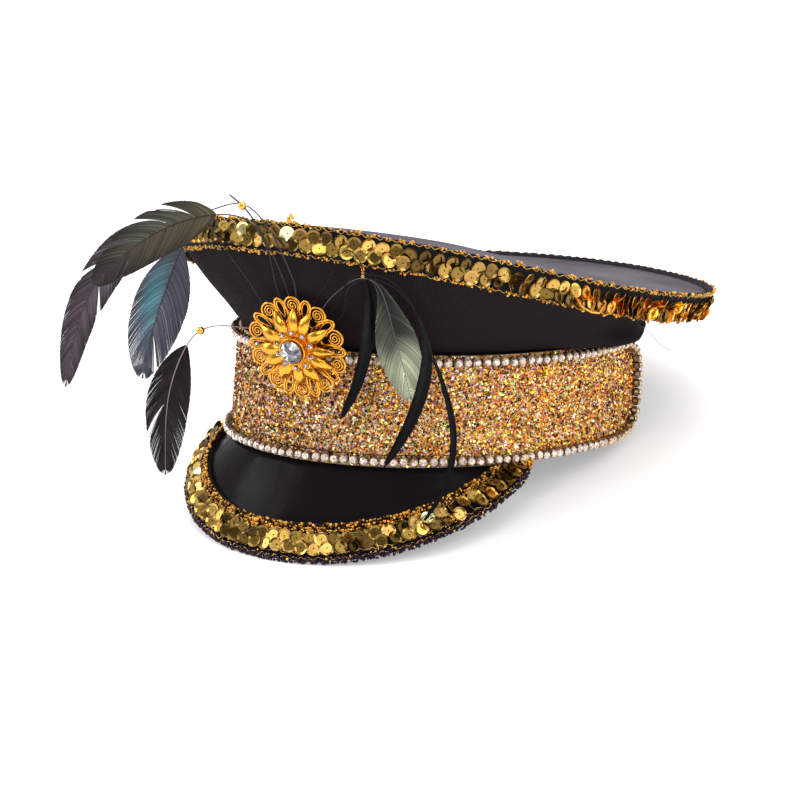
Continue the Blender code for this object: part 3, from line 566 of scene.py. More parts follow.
def copies(shape, places):
    """One mesh of many copies of a shape, each at its own matrix."""
    points, faces = shape
    rounded = np.hstack([points, np.ones((len(points), 1))])
    all_points = np.concatenate([rounded @ np.array(place).T[:, :3] for place in places])
    all_faces = [tuple(corner + len(points) * i for corner in face)
                 for i in range(len(places)) for face in faces]
    return all_points, all_faces


def add_copies(name, shape, places, shades, finish, slot, replaced, smooth=True):
    """A piece made of copies of a small shape, each with a shade of its own if it has any."""
    points, faces = copies(shape, places)
    tint = shades and np.repeat(np.array(shades), len(shape[0]), axis=0)
    add_piece(name, points, faces, finish, slot, replaced, tint=tint, smooth=smooth)


def tinted(finish):
    """Colours a finish by its piece's own tints."""
    plug(finish, "Base Color", node(
        finish, "ShaderNodeAttribute", attribute_name="tint").outputs["Color"])


OLIVE_GOLD = Vector((0.37, 0.218, 0.060))
YELLOW_GOLD = Vector((0.84, 0.520, 0.110))
PAINTED_GLINT_GOLD = Vector((1.9, 1.42, 0.66))
ORANGE_GOLD = Vector((0.84, 0.33, 0.03))
BROWN_GOLD = Vector((0.30, 0.12, 0.015))

sequin_film = make_finish("sequin_film", OLIVE_GOLD, 0.25, 0.95, mottle=(900, 0.11, 0.26))
tinted(sequin_film)
dent(sequin_film, speckle(sequin_film, 220, 0, 1), 0.10, 0.0003)

seed_glass = make_finish("gold_seed_glass", (0.72, 0.40, 0.06), 0.15, 0.9, mottle=(1500, 0.1, 0.3))
tinted(seed_glass)

braid = make_finish("black_braid", (0.007, 0.006, 0.010), 0.7, more={
    "Specular IOR Level": 0.25}, mottle=(500, 0.5, 0.9))
dent(braid, ribs(braid, cloth_spot(braid), "DIAGONAL", 0.8), 0.9, 0.0004)


def sequin_line(tape, turns, down_at, warm_at, lean_at, seed):
    """Matrices and tints of a zigzag double row of sequins that overlap like scales."""
    draw = random.Random(seed)
    places = []
    shades = []
    for i, turn in enumerate(turns):
        side = 1 if i % 2 else -1
        down = down_at(turn) + side * SEQUIN_ROW + draw.uniform(-0.0003, 0.0003)
        lift = 0.0002 + 0.0003 * (i % 2) + draw.uniform(0, 0.0004)
        frame_here, middle = placed_on(tape, turn, down, lift)
        loose = LOOSE_SWING if draw.random() < LOOSE_SHARE else 1.0
        lean = lean_at(turn) + radians(draw.gauss(0, SEQUIN_SCATTER) * loose)
        tilt = Matrix.Rotation(lean, 4, "Y")
        roll = Matrix.Rotation(radians(-4 * side + draw.gauss(0, SEQUIN_SCATTER) * loose), 4, "X")
        places.append(Matrix.Translation(middle) @ frame_here @ tilt @ roll)
        warm = clamp(draw.gauss(warm_at(turn), WARM_SPREAD))
        shade = OLIVE_GOLD.lerp(YELLOW_GOLD, min(warm * 1.6, 1))
        shade = shade.lerp(ORANGE_GOLD, min(max(warm - 0.55, 0) * 2, 1))
        # Painted light: a few sequins are painted as bright glints, the rest lighter or darker
        painted_glint = draw.random() < PAINTED_GLINT_SHARE
        shades.append(PAINTED_GLINT_GOLD if painted_glint else shade * draw.choice(SEQUIN_GLINTS))
    return places, shades


def bead_line(tape, turns, down, out, spread, each, seed):
    """Matrices and tints of little clusters of seed beads."""
    draw = random.Random(seed)
    places = []
    shades = []
    step = turns[1] - turns[0]
    for turn in turns:
        turn += draw.gauss(0, 0.25) * step
        frame_here, middle = placed_on(tape, turn, down + draw.gauss(0, 0.25) * spread, out)
        for i in range(draw.randint(each - 2, each + 1) if each > 2 else each):
            around = FULL_TURN * (i / each + draw.uniform(-0.15, 0.15))
            reach = spread * draw.uniform(0.4, 1.05)
            offset = Vector((cos(around) * reach * 1.3, sin(around) * reach * 0.8,
                             draw.uniform(0, BEAD_RADIUS)))
            size = Matrix.Scale(draw.uniform(0.7, 1.2), 4)
            places.append(Matrix.Translation(middle + frame_here.to_3x3() @ offset) @ size)
            gold = YELLOW_GOLD.lerp(ORANGE_GOLD, draw.random())
            shades.append(gold.lerp(BROWN_GOLD, draw.random() ** 2))
    return places, shades


def tube(line, radii, sides=6):
    """A round wire along a line, with one radius or a radius for each point."""
    line = [Vector(point) for point in line]
    if not isinstance(radii, (list, tuple)):
        radii = [radii] * len(line)
    points = []
    normal = None
    for i, point in enumerate(line):
        direction = (line[min(i + 1, len(line) - 1)] - line[max(i - 1, 0)]).normalized()
        if normal is None:
            normal = direction.orthogonal().normalized()
        normal = (normal - direction * normal.dot(direction)).normalized()
        other = direction.cross(normal)
        for side in range(sides):
            around = FULL_TURN * side / sides
            points.append(point + (normal * cos(around) + other * sin(around)) * radii[i])
    faces = []
    for i in range(len(line) - 1):
        for side in range(sides):
            after = (side + 1) % sides
            faces.append((i * sides + side, i * sides + after,
                          (i + 1) * sides + after, (i + 1) * sides + side))
    last = (len(line) - 1) * sides
    faces.append(tuple(range(sides - 1, -1, -1)))
    faces.append(tuple(last + side for side in range(sides)))
    return points, faces


def joined(shapes):
    """One list of points and faces from several shapes."""
    points = []
    faces = []
    for shape_points, shape_faces in shapes:
        first = len(points)
        points += [Vector(point) for point in shape_points]
        faces += [tuple(corner + first for corner in face) for face in shape_faces]
    return points, faces


def wavy_threads(tape, start, end, rows):
    """Metal threads that wave along a tape, a row for each (down, out)."""
    shapes = []
    for down, out in rows:
        line = []
        for i, turn in enumerate(even_turns(tape, start, end, down, THREAD_WAVE / 8)):
            swing = THREAD_SWING * (0.7 + 0.3 * sin(0.37 * i))
            wave = sin(pi * i / 4 + 1.3 * sin(0.19 * i))
            line.append(tape(turn, down + swing * wave, out))
        shapes.append(tube(line, THREAD_RADIUS, 4))
    return joined(shapes)


def rim_braid_point(across, along):
    angle = (across - 0.5) * FULL_TURN
    ruffle = 0.0003 * sin(150 * angle) * (2 * along - 1)
    return rim_tape_point(angle, TAPE_WIDTH * (1 - along) - ruffle, -BRAID_SINK)


add_sheet("rim_braid", 720, 6, rim_braid_point, TAPE_WALL - BRAID_SINK, braid, "sequin_gold",
          ["rim_trim"], lay=(TAPE_ROUND, TAPE_WIDTH))


def change(angle, start, end, low, high):
    """A measure that eases from low to high between two angles in degrees."""
    return mix(low, high, ease(angle, radians(start), radians(end)))


def rim_sequin_down(angle):
    """The rows lie high at the wearer's right and sink to the lower edge at the back."""
    return TAPE_WIDTH * change(angle, -40, 95, 0.41, 0.60)


def rim_warmth(angle):
    return 0.14 + 0.72 * ease(angle, radians(46), radians(78))


def rim_lean(angle):
    """The sequins face the front at the wearer's right, and turn edge-on past the left."""
    return radians(change(angle, 40, 75, 13, 17))


def rim_painted_light(shade, angle):
    """Painted shade at the wearer's right and painted light past the left, on the sequins."""
    return shade * change(angle, -30, 22, 0.38, 1) * change(angle, 45, 80, 1, 1.35)


turns = even_turns(rim_tape_point, -pi, pi, TAPE_WIDTH / 2, SEQUIN_PITCH)
places, shades = sequin_line(rim_tape_point, turns, rim_sequin_down, rim_warmth, rim_lean, 11)
shades = [rim_painted_light(shade, turn) for shade, turn in zip(shades, turns)]
turns = even_turns(rim_tape_point, *CROWDED, TAPE_WIDTH / 2, SEQUIN_PITCH)
crowded, crowded_shades = sequin_line(
    rim_tape_point, turns, rim_sequin_down, rim_warmth, rim_lean, 15)
shades += [shade * CROWDED_GAIN for shade in crowded_shades]
sequin = sequin_shape()
add_copies("rim_sequins", sequin, places + crowded, shades, sequin_film, "sequin_gold",
           ["rim_trim"], smooth=False)

bead = ball_shape(BEAD_RADIUS)
turns = even_turns(rim_tape_point, -pi, pi, 0, CLUSTER_PITCH)
upper, upper_shades = bead_line(
    rim_tape_point, turns, 0.0001, -0.0010, CLUSTER_SPREAD, CLUSTER_BEADS, 12)
lower, lower_shades = bead_line(
    rim_tape_point, turns, TAPE_WIDTH - 0.0006, -0.0004, CLUSTER_SPREAD, CLUSTER_BEADS, 13)
add_copies("rim_beads", bead, upper + lower, upper_shades + lower_shades, seed_glass,
           "sequin_gold", ["rim_trim"])

gold_thread = make_finish("gold_thread", (0.72, 0.44, 0.09), 0.25, 1.0, mottle=(1500, 0.15, 0.4))
points, faces = wavy_threads(rim_tape_point, -pi, pi, [
    (0.0006, -0.0002), (TAPE_WIDTH - 0.0008, -0.0002)])
add_piece("rim_threads", points, faces, gold_thread, "sequin_gold", ["rim_trim"])

# A few beads have worked loose: a knot of them on the rim, three that dangle below it, and a
# beaded loop that hangs at the wearer's left. Each is given as (degrees, height, stand-off).
LOOSE_BEADS = [(4.9, 0.1010, 0.0010), (5.6, 0.1014, 0.0016), (6.4, 0.1012, 0.0008),
               (5.2, 0.1026, 0.0012), (6.0, 0.1030, 0.0010), (5.6, 0.1040, 0.0010),
               (20.3, 0.0842, 0.0012), (20.4, 0.0828, 0.0012), (20.3, 0.0815, 0.0012)]
LOOSE_LOOP = [(63.2, 0.0730, 0.0006), (64.6, 0.0686, 0.0020), (66.6, 0.0663, 0.0024),
              (68.7, 0.0656, 0.0024), (70.8, 0.0690, 0.0008)]
LOOSE_SIZE = 1.4
LOOP_SIZE = 0.8


def off_rim(spot):
    """A point that hangs off the rim at an angle in degrees, a height and a stand-off."""
    angle = radians(spot[0])
    down = (rim_height(angle) - spot[1]) / cos(tape_tilt(angle))
    return rim_tape_point(angle, down, spot[2])


loop = [off_rim([np.interp(k, range(5), column) for column in zip(*LOOSE_LOOP)])
        for k in np.linspace(0, 4, 26)]
places = [Matrix.Translation(off_rim(spot)) @ Matrix.Scale(LOOSE_SIZE, 4) for spot in LOOSE_BEADS]
places += [Matrix.Translation(point) @ Matrix.Scale(LOOP_SIZE, 4) for point in loop]
draw = random.Random(14)
shades = [YELLOW_GOLD.lerp(ORANGE_GOLD, draw.random()) for _ in places]
add_copies("loose_beads", bead, places, shades, seed_glass, "sequin_gold", ["rim_trim"])


# Glitter panel
# A strip of card covered in chunky glitter, wrapped round the front and sides of the band.
# Its rear corners are rounded and its ends spring away from the band.
PANEL_WALL = 0.0015
PANEL_CORNER = 0.0185
PANEL_SPRING = 0.0025
SPRING_START = 0.82
PANEL_BACK = BAND_WALL + GAP
PANEL_FACE = PANEL_BACK + PANEL_WALL
BAND_RADIUS = (HEAD_LENGTH + HEAD_WIDTH) / 4 + PANEL_FACE
FLAKE_SIZE = 0.00046
FLAKES = 30000
FLAKE_EDGE = 0.0004
FLAKE_TILT = 0.50


def corner_rise(angle):
    """How far the panel's edge turns up, or down, where its rear corners are rounded."""
    past = abs(angle) * BAND_RADIUS - (PANEL_END * BAND_RADIUS - PANEL_CORNER)
    past = clamp(past, 0.0, PANEL_CORNER)
    return PANEL_CORNER - sqrt(PANEL_CORNER ** 2 - past ** 2)


def panel_point(angle, height, outset):
    """A point on the panel, whose ends spring away from the band."""
    past = max(abs(angle) / PANEL_END - SPRING_START, 0) / (1 - SPRING_START)
    return band_point(angle, height, outset + PANEL_SPRING * past ** 2)


def panel_sheet_point(across, along):
    angle = sin((across - 0.5) * pi) * PANEL_END
    rise = corner_rise(angle)
    return panel_point(angle, mix(rise, BAND_HEIGHT - rise, along), PANEL_FACE)


# The near-white shade is painted glints of light, on the flakes and on the glue between them
GLITTER_SHADES = [
    ((0.80, 0.34, 0.04), 24), ((0.94, 0.52, 0.09), 17), ((0.88, 0.62, 0.34), 10),
    ((1.0, 0.98, 0.95), 18), ((0.38, 0.12, 0.02), 14), ((0.80, 0.24, 0.30), 5),
    ((0.28, 0.12, 0.50), 4), ((0.08, 0.38, 0.18), 2), ((0.02, 0.012, 0.02), 15)]
# Painted light on the flakes: dimmer and cooler towards the wearer's right, brighter and warmer at
# the left
COOL_LIGHT = Vector((1.06, 0.93, 0.62))
WARM_LIGHT = Vector((2.20, 1.46, 0.54))
FLAKE_SIZES = (0.7, 0.9, 1.0, 1.3)
FLAKE_GLINTS = (0.22, 0.48, 0.85, 1.25, 1.7)
palette = [shade for shade, weight in GLITTER_SHADES]
weights = [weight for shade, weight in GLITTER_SHADES]

glitter_glue = make_finish("glitter_glue", (0.45, 0.28, 0.12), 0.5, 0.5)
cells = node(glitter_glue, "ShaderNodeTexVoronoi", {
    "Vector": node(glitter_glue, "ShaderNodeTexCoord").outputs["Object"], "Scale": 1900.0})
cell_value = node(glitter_glue, "ShaderNodeSeparateColor", {"Color": cells.outputs["Color"]})
ramp = node(glitter_glue, "ShaderNodeValToRGB", {"Fac": cell_value.outputs["Red"]})
ramp.color_ramp.interpolation = "CONSTANT"
stops = ramp.color_ramp.elements
reached = 0
for shade, weight in GLITTER_SHADES:
    stop = stops.new(reached / sum(weights)) if reached else stops[0]
    stop.color = (*shade, 1)
    reached += weight
stops.remove(stops[-1])
plug(glitter_glue, "Base Color", ramp.outputs["Color"])
dent(glitter_glue, cell_value.outputs["Green"], 0.8, 0.0004)
add_sheet("panel_card", 220, 16, panel_sheet_point, PANEL_WALL, glitter_glue,
          "champagne_glitter", ["glitter_band"])

draw = random.Random(21)
flake_points = []
flake_faces = []
flake_shades = []
while len(flake_faces) < FLAKES:
    angle = draw.uniform(-PANEL_END, PANEL_END)
    height = draw.uniform(0, BAND_HEIGHT)
    rise = corner_rise(angle)
    if not rise + FLAKE_EDGE < height < BAND_HEIGHT - rise - FLAKE_EDGE:
        continue
    outward = band_outward(angle)
    leaned = (outward + Vector([draw.gauss(0, FLAKE_TILT) for _ in range(3)])).normalized()
    middle = panel_point(angle, height, PANEL_FACE + draw.uniform(0.0001, 0.0003))
    spin = Matrix.Rotation(draw.uniform(0, FULL_TURN), 3, "Z").to_quaternion()
    flat = leaned.to_track_quat("Z", "Y") @ spin
    size = FLAKE_SIZE * draw.choice(FLAKE_SIZES)
    first = len(flake_points)
    for x, y in ((-1, -0.8), (1, -0.8), (1, 0.8), (-1, 0.8)):
        flake_points.append(middle + flat @ Vector((x * size, y * size, 0)))
    flake_faces.append((first, first + 1, first + 2, first + 3))
    shade = draw.choices(palette, weights)[0]
    # Painted light: brighter and warmer towards the wearer's left, and each flake lighter or darker
    # by a glint factor
    warm = change(angle, -10, 85, COOL_LIGHT, WARM_LIGHT)
    flake_shades.append(Vector(shade) * warm * draw.choice(FLAKE_GLINTS))

flake_film = make_finish("glitter_flake", (0.7, 0.45, 0.2), 0.18, 0.8, mottle=(3000, 0.10, 0.28))
tinted(flake_film)
add_piece("panel_flakes", flake_points, flake_faces, flake_film, "champagne_glitter",
          ["glitter_band"], tint=np.repeat(np.array(flake_shades), 4, axis=0), smooth=False)


# Crystal chain
# Round rhinestones of 4 mm, each held in a small metal cup that is linked to the next. The
# chain is glued along the whole outline of the panel.
CHAIN_DIAMETER = 0.0040
CHAIN_INSET = 0.0025
CHAIN_PITCH = 0.0041
CHAIN_MIDDLE = PANEL_FACE + GAP + CHAIN_DIAMETER / 2
CHAIN_FACE = CHAIN_MIDDLE + CHAIN_DIAMETER / 2
STONE_SIDES = 12
STONE_FACETS = 8
STONE_TILT = 0.06
CUP_HEIGHT = 0.0022
SET_DEPTH = 0.0018
SET_HEIGHT = 0.0020
DARK_LINE_RADIUS = 0.00016


def chain_outline():
    """Arc length and height of points round the panel, along the middle of its chain."""
    radius = PANEL_CORNER - CHAIN_INSET
    straight = PANEL_END * BAND_RADIUS - PANEL_CORNER
    outline = [(x, CHAIN_INSET) for x in np.linspace(-straight, straight, 300)]
    for swing in np.linspace(0, pi / 2, 40)[1:]:
        outline.append((straight + radius * sin(swing), PANEL_CORNER - radius * cos(swing)))
    for swing in np.linspace(0, pi / 2, 40)[:-1]:
        outline.append((straight + radius * cos(swing),
                        BAND_HEIGHT - PANEL_CORNER + radius * sin(swing)))
    return outline + [(-x, BAND_HEIGHT - height) for x, height in outline]


def cut_stone(radius, base, height, facets, draw, shades):
    """The visible facets of a round stone, each with points and a painted reflection of its own."""
    table, star, girdle = (0.56, height), (0.80, height * 0.84), (1.0, height * 0.55)
    points = []
    faces = []
    tints = []

    def facet(corners):
        first = len(points)
        shade = Vector(draw.choice(shades)) * draw.uniform(0.8, 1.1)
        for share, z, turn in corners:
            points.append(Vector(on_circle(radius * share, FULL_TURN * turn / facets, base + z)))
            tints.append(shade)
        faces.append(tuple(range(first, first + len(corners))))

    for i in range(facets):
        facet([(0, height, i), (*table, i), (*table, i + 1)])
        facet([(*table, i), (*star, i + 0.5), (*table, i + 1)])
        facet([(*table, i + 1), (*star, i + 0.5), (*girdle, i + 1), (*star, i + 1.5)])
        facet([(*star, i + 0.5), (*girdle, i), (*girdle, i + 1)])
        facet([(*girdle, i), (0.45, 0.0, i), (0.45, 0.0, i + 1), (*girdle, i + 1)])
    return points, faces, tints


# Painted reflections: the bright and dark shades that the chain's facets are painted with
CHAIN_FACET_REFLECTIONS = [
    (1.0, 0.98, 0.98), (0.92, 0.86, 0.86), (0.66, 0.54, 0.52), (0.97, 0.76, 0.62),
    (0.92, 0.72, 0.76), (0.30, 0.22, 0.21), (1.0, 1.0, 1.0)]
cup_metal = make_finish("chain_cup", (0.24, 0.17, 0.10), 0.3, 1.0, mottle=(2000, 0.2, 0.45))
stone_glass = make_finish("chain_stone", (0.86, 0.84, 0.86), 0.05, 0.2, more={"Coat Weight": 1.0})
tinted(stone_glass)

outline = np.array(chain_outline() + chain_outline()[:1])
chain_line = np.array([panel_point(x / BAND_RADIUS, z, CHAIN_MIDDLE) for x, z in outline])
lengths = distances_along(chain_line)
stone_count = round(lengths[-1] / CHAIN_PITCH)
draw = random.Random(31)
places = []
for i in range(stone_count):
    spot = [np.interp(i / stone_count * lengths[-1], lengths, outline[:, k]) for k in (0, 1)]
    angle = spot[0] / BAND_RADIUS
    outward = band_outward(angle)
    middle = panel_point(angle, spot[1], PANEL_FACE + GAP)
    tilt = Vector([draw.gauss(0, STONE_TILT) for _ in range(3)])
    stand = (outward + tilt).to_track_quat("Z", "Y").to_matrix().to_4x4()
    places.append(Matrix.Translation(middle) @ stand)
half = CHAIN_PITCH / 2
cup = turned_shape([(0, CUP_HEIGHT), (half * 0.80, CUP_HEIGHT), (half * 0.94, 0.0021),
                    (half * 0.96, 0.0006), (half * 0.7, 0), (0, 0)], STONE_SIDES)
add_copies("chain_cups", cup, places, None, cup_metal, "crystal", ["crystal_chain"], smooth=False)
# A thin dark cord along the panel, just above the lower chain
dark_line = [panel_point(radians(turn), CHAIN_INSET + 0.0024, PANEL_FACE + 0.0004)
             for turn in range(-8, 45)]
points, faces = tube(dark_line, DARK_LINE_RADIUS, 4)
add_piece("chain_dark_line", points, faces, ribbon, "crystal", ["crystal_chain"])

# Painted reflections: stones that turn away from the front are painted warmer and darker
COOL_GLOW = Vector((0.96, 0.89, 0.78))
WARM_GLOW = Vector((0.86, 0.69, 0.42))
stones = []
tints = []
for place in places:
    turned_away = ease(atan2(place.translation.x, -place.translation.y), 1.1, 1.9)
    glow = mix(COOL_GLOW, WARM_GLOW, turned_away)
    points, faces, shades = cut_stone(
        half * 0.84, SET_DEPTH, SET_HEIGHT, STONE_FACETS, draw, CHAIN_FACET_REFLECTIONS)
    stones.append(([place @ point for point in points], faces))
    tints += [shade * glow for shade in shades]
points, faces = joined(stones)
add_piece("chain_stones", points, faces, stone_glass, "crystal", ["crystal_chain"],
          tint=tints, smooth=False)


# Peak
# A crescent of board covered in black patent leather cloth. It is sewn under the front of the
# band and slopes down steeply.
PEAK_LENGTH = 0.0402
PEAK_WALL = 0.0020
PEAK_HALF_ANGLE = radians(66)
PEAK_SLOPE = radians(63)
PEAK_SLOPE_EASE = radians(30)
PEAK_ROUNDNESS = 2.3
PEAK_TIP = 0.97
PEAK_FLANGE = 0.0030
FLANGE_SHARE = 0.1
PEAK_BUCKLE = 0.0005
PEAK_TAPE_WIDTH = 0.0156
PEAK_TAPE_PROUD = 0.0008
PEAK_TAPE_CLEAR = 0.0016


def peak_reach(turn):
    return PEAK_LENGTH * (1 - abs(turn) ** PEAK_ROUNDNESS)


def peak_frame(turn):
    """The peak's root point, its downward slope and its outward normal."""
    angle = turn * PEAK_HALF_ANGLE
    slope = PEAK_SLOPE - PEAK_SLOPE_EASE * turn ** 2
    outward = band_outward(angle)
    root = band_point(angle, 0, PANEL_FACE)
    root.z = -2 * GAP - PEAK_WALL / 2
    return (root, outward * cos(slope) + Vector((0, 0, -sin(slope))),
            outward * sin(slope) + Vector((0, 0, cos(slope))))


def peak_sheet_point(across, along):
    turn = (2 * across - 1) * PEAK_TIP
    root, down, normal = peak_frame(turn)
    sloping = 1 - FLANGE_SHARE
    if along > sloping:
        flange = (along - sloping) / FLANGE_SHARE
        return root - band_outward(turn * PEAK_HALF_ANGLE) * PEAK_FLANGE * flange
    buckle = PEAK_BUCKLE * sin(9 * turn + 1) * sin(pi * along / sloping)
    return root + down * peak_reach(turn) * (1 - along / sloping) + normal * buckle


patent = make_finish("black_patent", (0.0085, 0.0070, 0.0075), 0.28, more={
    "Specular IOR Level": 0.024}, mottle=(60, 0.12, 0.24))
dent(patent, speckle(patent, 45, 0, 1, 3), 0.30, 0.0010)
add_sheet("peak_patent", 120, 20, peak_sheet_point, PEAK_WALL, patent, "black_patent", ["peak"],
          side=0)


# Peak tape
# The same sequin braid, folded over the peak's edge: a thick row of seed beads inside, the
# zigzag of sequins, and a dark beaded strip that turns under the edge.
EDGE_WRAP = 0.0042
PEAK_TAPE_ROUND = 0.27
EDGE_RADIUS = 0.0018
INNER_ROWS = (0.0119, 0.0132, 0.0146)
INNER_PITCH = 0.0020
EDGE_ROWS = (-0.0026, -0.0014, -0.0002, 0.0010, 0.0022)
EDGE_PITCH = 0.0021
END_BEADS = 70


def peak_tape_point(turn, inward, out):
    """A point on the peak's tape: inward from its outer edge, and out from its face."""
    root, down, normal = peak_frame(turn)
    lift = PEAK_WALL / 2 + GAP + TAPE_WALL
    outer = peak_reach(turn) + PEAK_TAPE_PROUD
    if inward < 0:
        bend = -inward / EDGE_RADIUS
        swing = EDGE_RADIUS + out
        centre = root + down * outer + normal * (lift - EDGE_RADIUS)
        return centre + down * sin(bend) * swing + normal * cos(bend) * swing
    return root + down * max(outer - inward, PEAK_TAPE_CLEAR) + normal * (lift + out)


def peak_braid_point(across, along):
    turn = (2 * across - 1) * PEAK_TIP
    inward = mix(-EDGE_WRAP, PEAK_TAPE_WIDTH, along)
    return peak_tape_point(turn, inward, -BRAID_SINK)


add_sheet("peak_braid", 360, 24, peak_braid_point, TAPE_WALL - BRAID_SINK, braid,
          "sequin_gold", ["peak_trim"], lay=(PEAK_TAPE_ROUND, PEAK_TAPE_WIDTH + EDGE_WRAP))


PURPLE_BLACK = Vector((0.030, 0.016, 0.034))
PEAK_DIMMING = 0.78
GOLD_SHARE = 0.07
SEQUIN_MIDDLE = 0.0066
SEQUIN_LEAN = radians(12)


def peak_warmth(turn):
    return 0.24 + 0.3 * ease(turn, 0.5, 0.9)


turns = even_turns(
    peak_tape_point, -PEAK_TIP * 0.99, PEAK_TIP * 0.99, SEQUIN_MIDDLE, SEQUIN_PITCH)
places, shades = sequin_line(
    peak_tape_point, turns, lambda turn: SEQUIN_MIDDLE, peak_warmth, lambda turn: SEQUIN_LEAN, 41)
add_copies("peak_sequins", sequin, places, [shade * PEAK_DIMMING for shade in shades],
           sequin_film, "sequin_gold", ["peak_trim"], smooth=False)

draw = random.Random(45)
places = []
shades = []
for i, inward in enumerate(INNER_ROWS):
    turns = even_turns(peak_tape_point, -PEAK_TIP * 0.9, PEAK_TIP * 0.9, inward, INNER_PITCH)
    row, row_shades = bead_line(peak_tape_point, turns, inward, -0.0006, 0.0007, 2, 42 + i)
    places += [place @ Matrix.Scale(draw.choice((0.9, 1.2, 1.4, 1.6)), 4) for place in row]
    shades += [shade * draw.choice((0.08, 0.5, 1.0, 1.0)) for shade in row_shades]
for i, inward in enumerate(EDGE_ROWS):
    turns = even_turns(peak_tape_point, -PEAK_TIP * 0.97, PEAK_TIP * 0.97, inward, EDGE_PITCH)
    row, row_shades = bead_line(peak_tape_point, turns, inward, -0.0009, 0.0006, 2, 46 + i)
    places += row
    shades += [YELLOW_GOLD if draw.random() < GOLD_SHARE else PURPLE_BLACK * draw.uniform(0.6, 1.6)
               for _ in row]
for _ in range(END_BEADS):
    turn = PEAK_TIP - abs(draw.gauss(0, 0.012))
    spot = peak_tape_point(turn, draw.uniform(0.0004, 0.0095), draw.uniform(-0.0006, 0.0014))
    places.append(Matrix.Translation(spot) @ Matrix.Scale(draw.uniform(0.8, 1.4), 4))
    shades.append(YELLOW_GOLD.lerp(ORANGE_GOLD, draw.random()) * draw.choice((0.15, 0.8, 1.0)))
add_copies("peak_beads", bead, places, shades, seed_glass, "sequin_gold", ["peak_trim"])
points, faces = wavy_threads(peak_tape_point, -PEAK_TIP * 0.97, PEAK_TIP * 0.97, [
    (0.0004, -0.0004), (0.0026, 0.0), (0.0108, 0.0)])
add_piece("peak_threads", points, faces, gold_thread, "sequin_gold", ["peak_trim"])


# Brooch
# A pressed-metal flower brooch pinned where the crown meets the band. From the back: open wire
# filigree of curled lobes and pointed loops, arched petals, a fluted star with ten small
# crystals, and a large crystal in a thin bezel.
BROOCH_HEIGHT = 0.0480
BROOCH_ANGLE = radians(1.5)
BROOCH_TURN = radians(8)
BROOCH_CLEARANCE = 0.0027
BROOCH_RADIUS = 0.0227
FILIGREE_WALL = 0.0010
LOBES = 10
LOBE_TURN = radians(18)
LOBE_RADIUS = 0.0041
LOOP_HALF_WIDTH = 0.0030
WIRE_RADIUS = 0.00050
FINE_WIRE_RADIUS = 0.00034
WIRE_ROOT = 0.0092
WIRE_LIFT = 0.0003
LEG_HALF_GAP = 0.0012
LOBE_SWING = 142
SPIRAL_TURNS = 2.3
SPIRAL_END = 0.0003
RAY_ENDS = (0.0060, 0.0165)
RING_RADIUS = 0.0118
PETALS = 12
PETAL_REACH = 0.0178
PETAL_ROOT = 0.0050
PETAL_HALF_WIDTH = 0.0027
PETAL_WALL = 0.0008
PETAL_LIFT = 0.0022
PETAL_RIDGE = 0.0012
STAR_REACH = 0.0098
STAR_ROOT = 0.0086
STAR_WALL = 0.0007
STAR_INNER = 0.0048
STAR_RISE = 0.0006
FLUTES = 48
FLUTE_DEPTH = 0.0003
COLLET_RADIUS = 0.0002
STONES = 10
STONE_CIRCLE = 0.0079
STONE_DIAMETER = 0.0024
STONE_HEIGHT = 0.0014
SETTING_DIAMETER = 0.0118
SETTING_WALL = 0.0006
SETTING_HEIGHT = 0.0026
CRYSTAL_DIAMETER = 0.0100
CRYSTAL_HEIGHT = 0.0046
PETAL_BASE = FILIGREE_WALL + GAP
STAR_BASE = PETAL_BASE + PETAL_WALL + GAP
SETTING_BASE = STAR_BASE + STAR_WALL + GAP
CRYSTAL_BASE = SETTING_BASE + SETTING_WALL + GAP


def brooch_matrix():
    """Stands the brooch against the panel below and the flaring wall above."""
    low = band_point(0, BROOCH_HEIGHT - BROOCH_RADIUS, PANEL_FACE)
    foot = wall_foot(0)
    hem = wall_hem(0)
    high = mix(foot, hem, (BROOCH_HEIGHT + BROOCH_RADIUS - foot.z) / (hem.z - foot.z))
    lean = atan2(low.y - high.y, high.z - low.z)
    middle = mix(low, high, 0.5)
    side = band_point(BROOCH_ANGLE, 0, CHAIN_FACE).x
    place = Vector((side, middle.y - BROOCH_CLEARANCE / cos(lean), middle.z))
    return (Matrix.Translation(place) @ Matrix.Rotation(BROOCH_TURN, 4, "Z")
            @ Matrix.Rotation(pi / 2 + lean, 4, "X"))


STAND = brooch_matrix()


def add_to_brooch(name, shape, finish, slot, replaced, **more):
    """A piece that is made flat in the brooch's own plane, and then stood in its place."""
    points, faces = shape
    return add_piece(name, [STAND @ Vector(point) for point in points], faces, finish, slot,
                     replaced, **more)


def around_brooch(points, angle):
    turn = Matrix.Rotation(angle, 3, "Z")
    return [turn @ Vector(point) for point in points]


def ray(angle):
    """The direction at an angle in the brooch's own plane."""
    return Vector(on_circle(1, angle, 0))


def lobe_wires():
    """A round lobe's rim, whose two legs run in to the middle, and the spiral inside it."""
    centre = BROOCH_RADIUS - LOBE_RADIUS
    ring = LOBE_RADIUS - WIRE_RADIUS
    middle = FILIGREE_WALL / 2
    rim = [(WIRE_ROOT, -LEG_HALF_GAP, middle)]
    for i in range(25):
        swing = radians(mix(-LOBE_SWING, LOBE_SWING, i / 24))
        rim.append((centre + ring * cos(swing), ring * sin(swing), middle + WIRE_LIFT))
    rim.append((WIRE_ROOT, LEG_HALF_GAP, middle))
    spiral = []
    for i in range(40):
        share = i / 39
        swing = radians(180) + share * SPIRAL_TURNS * FULL_TURN
        radius = mix(ring - 0.0007, SPIRAL_END, share)
        spiral.append((centre + radius * cos(swing), radius * sin(swing),
                       middle + WIRE_LIFT + WIRE_LIFT * share))
    return [(rim, WIRE_RADIUS), (spiral, FINE_WIRE_RADIUS)]


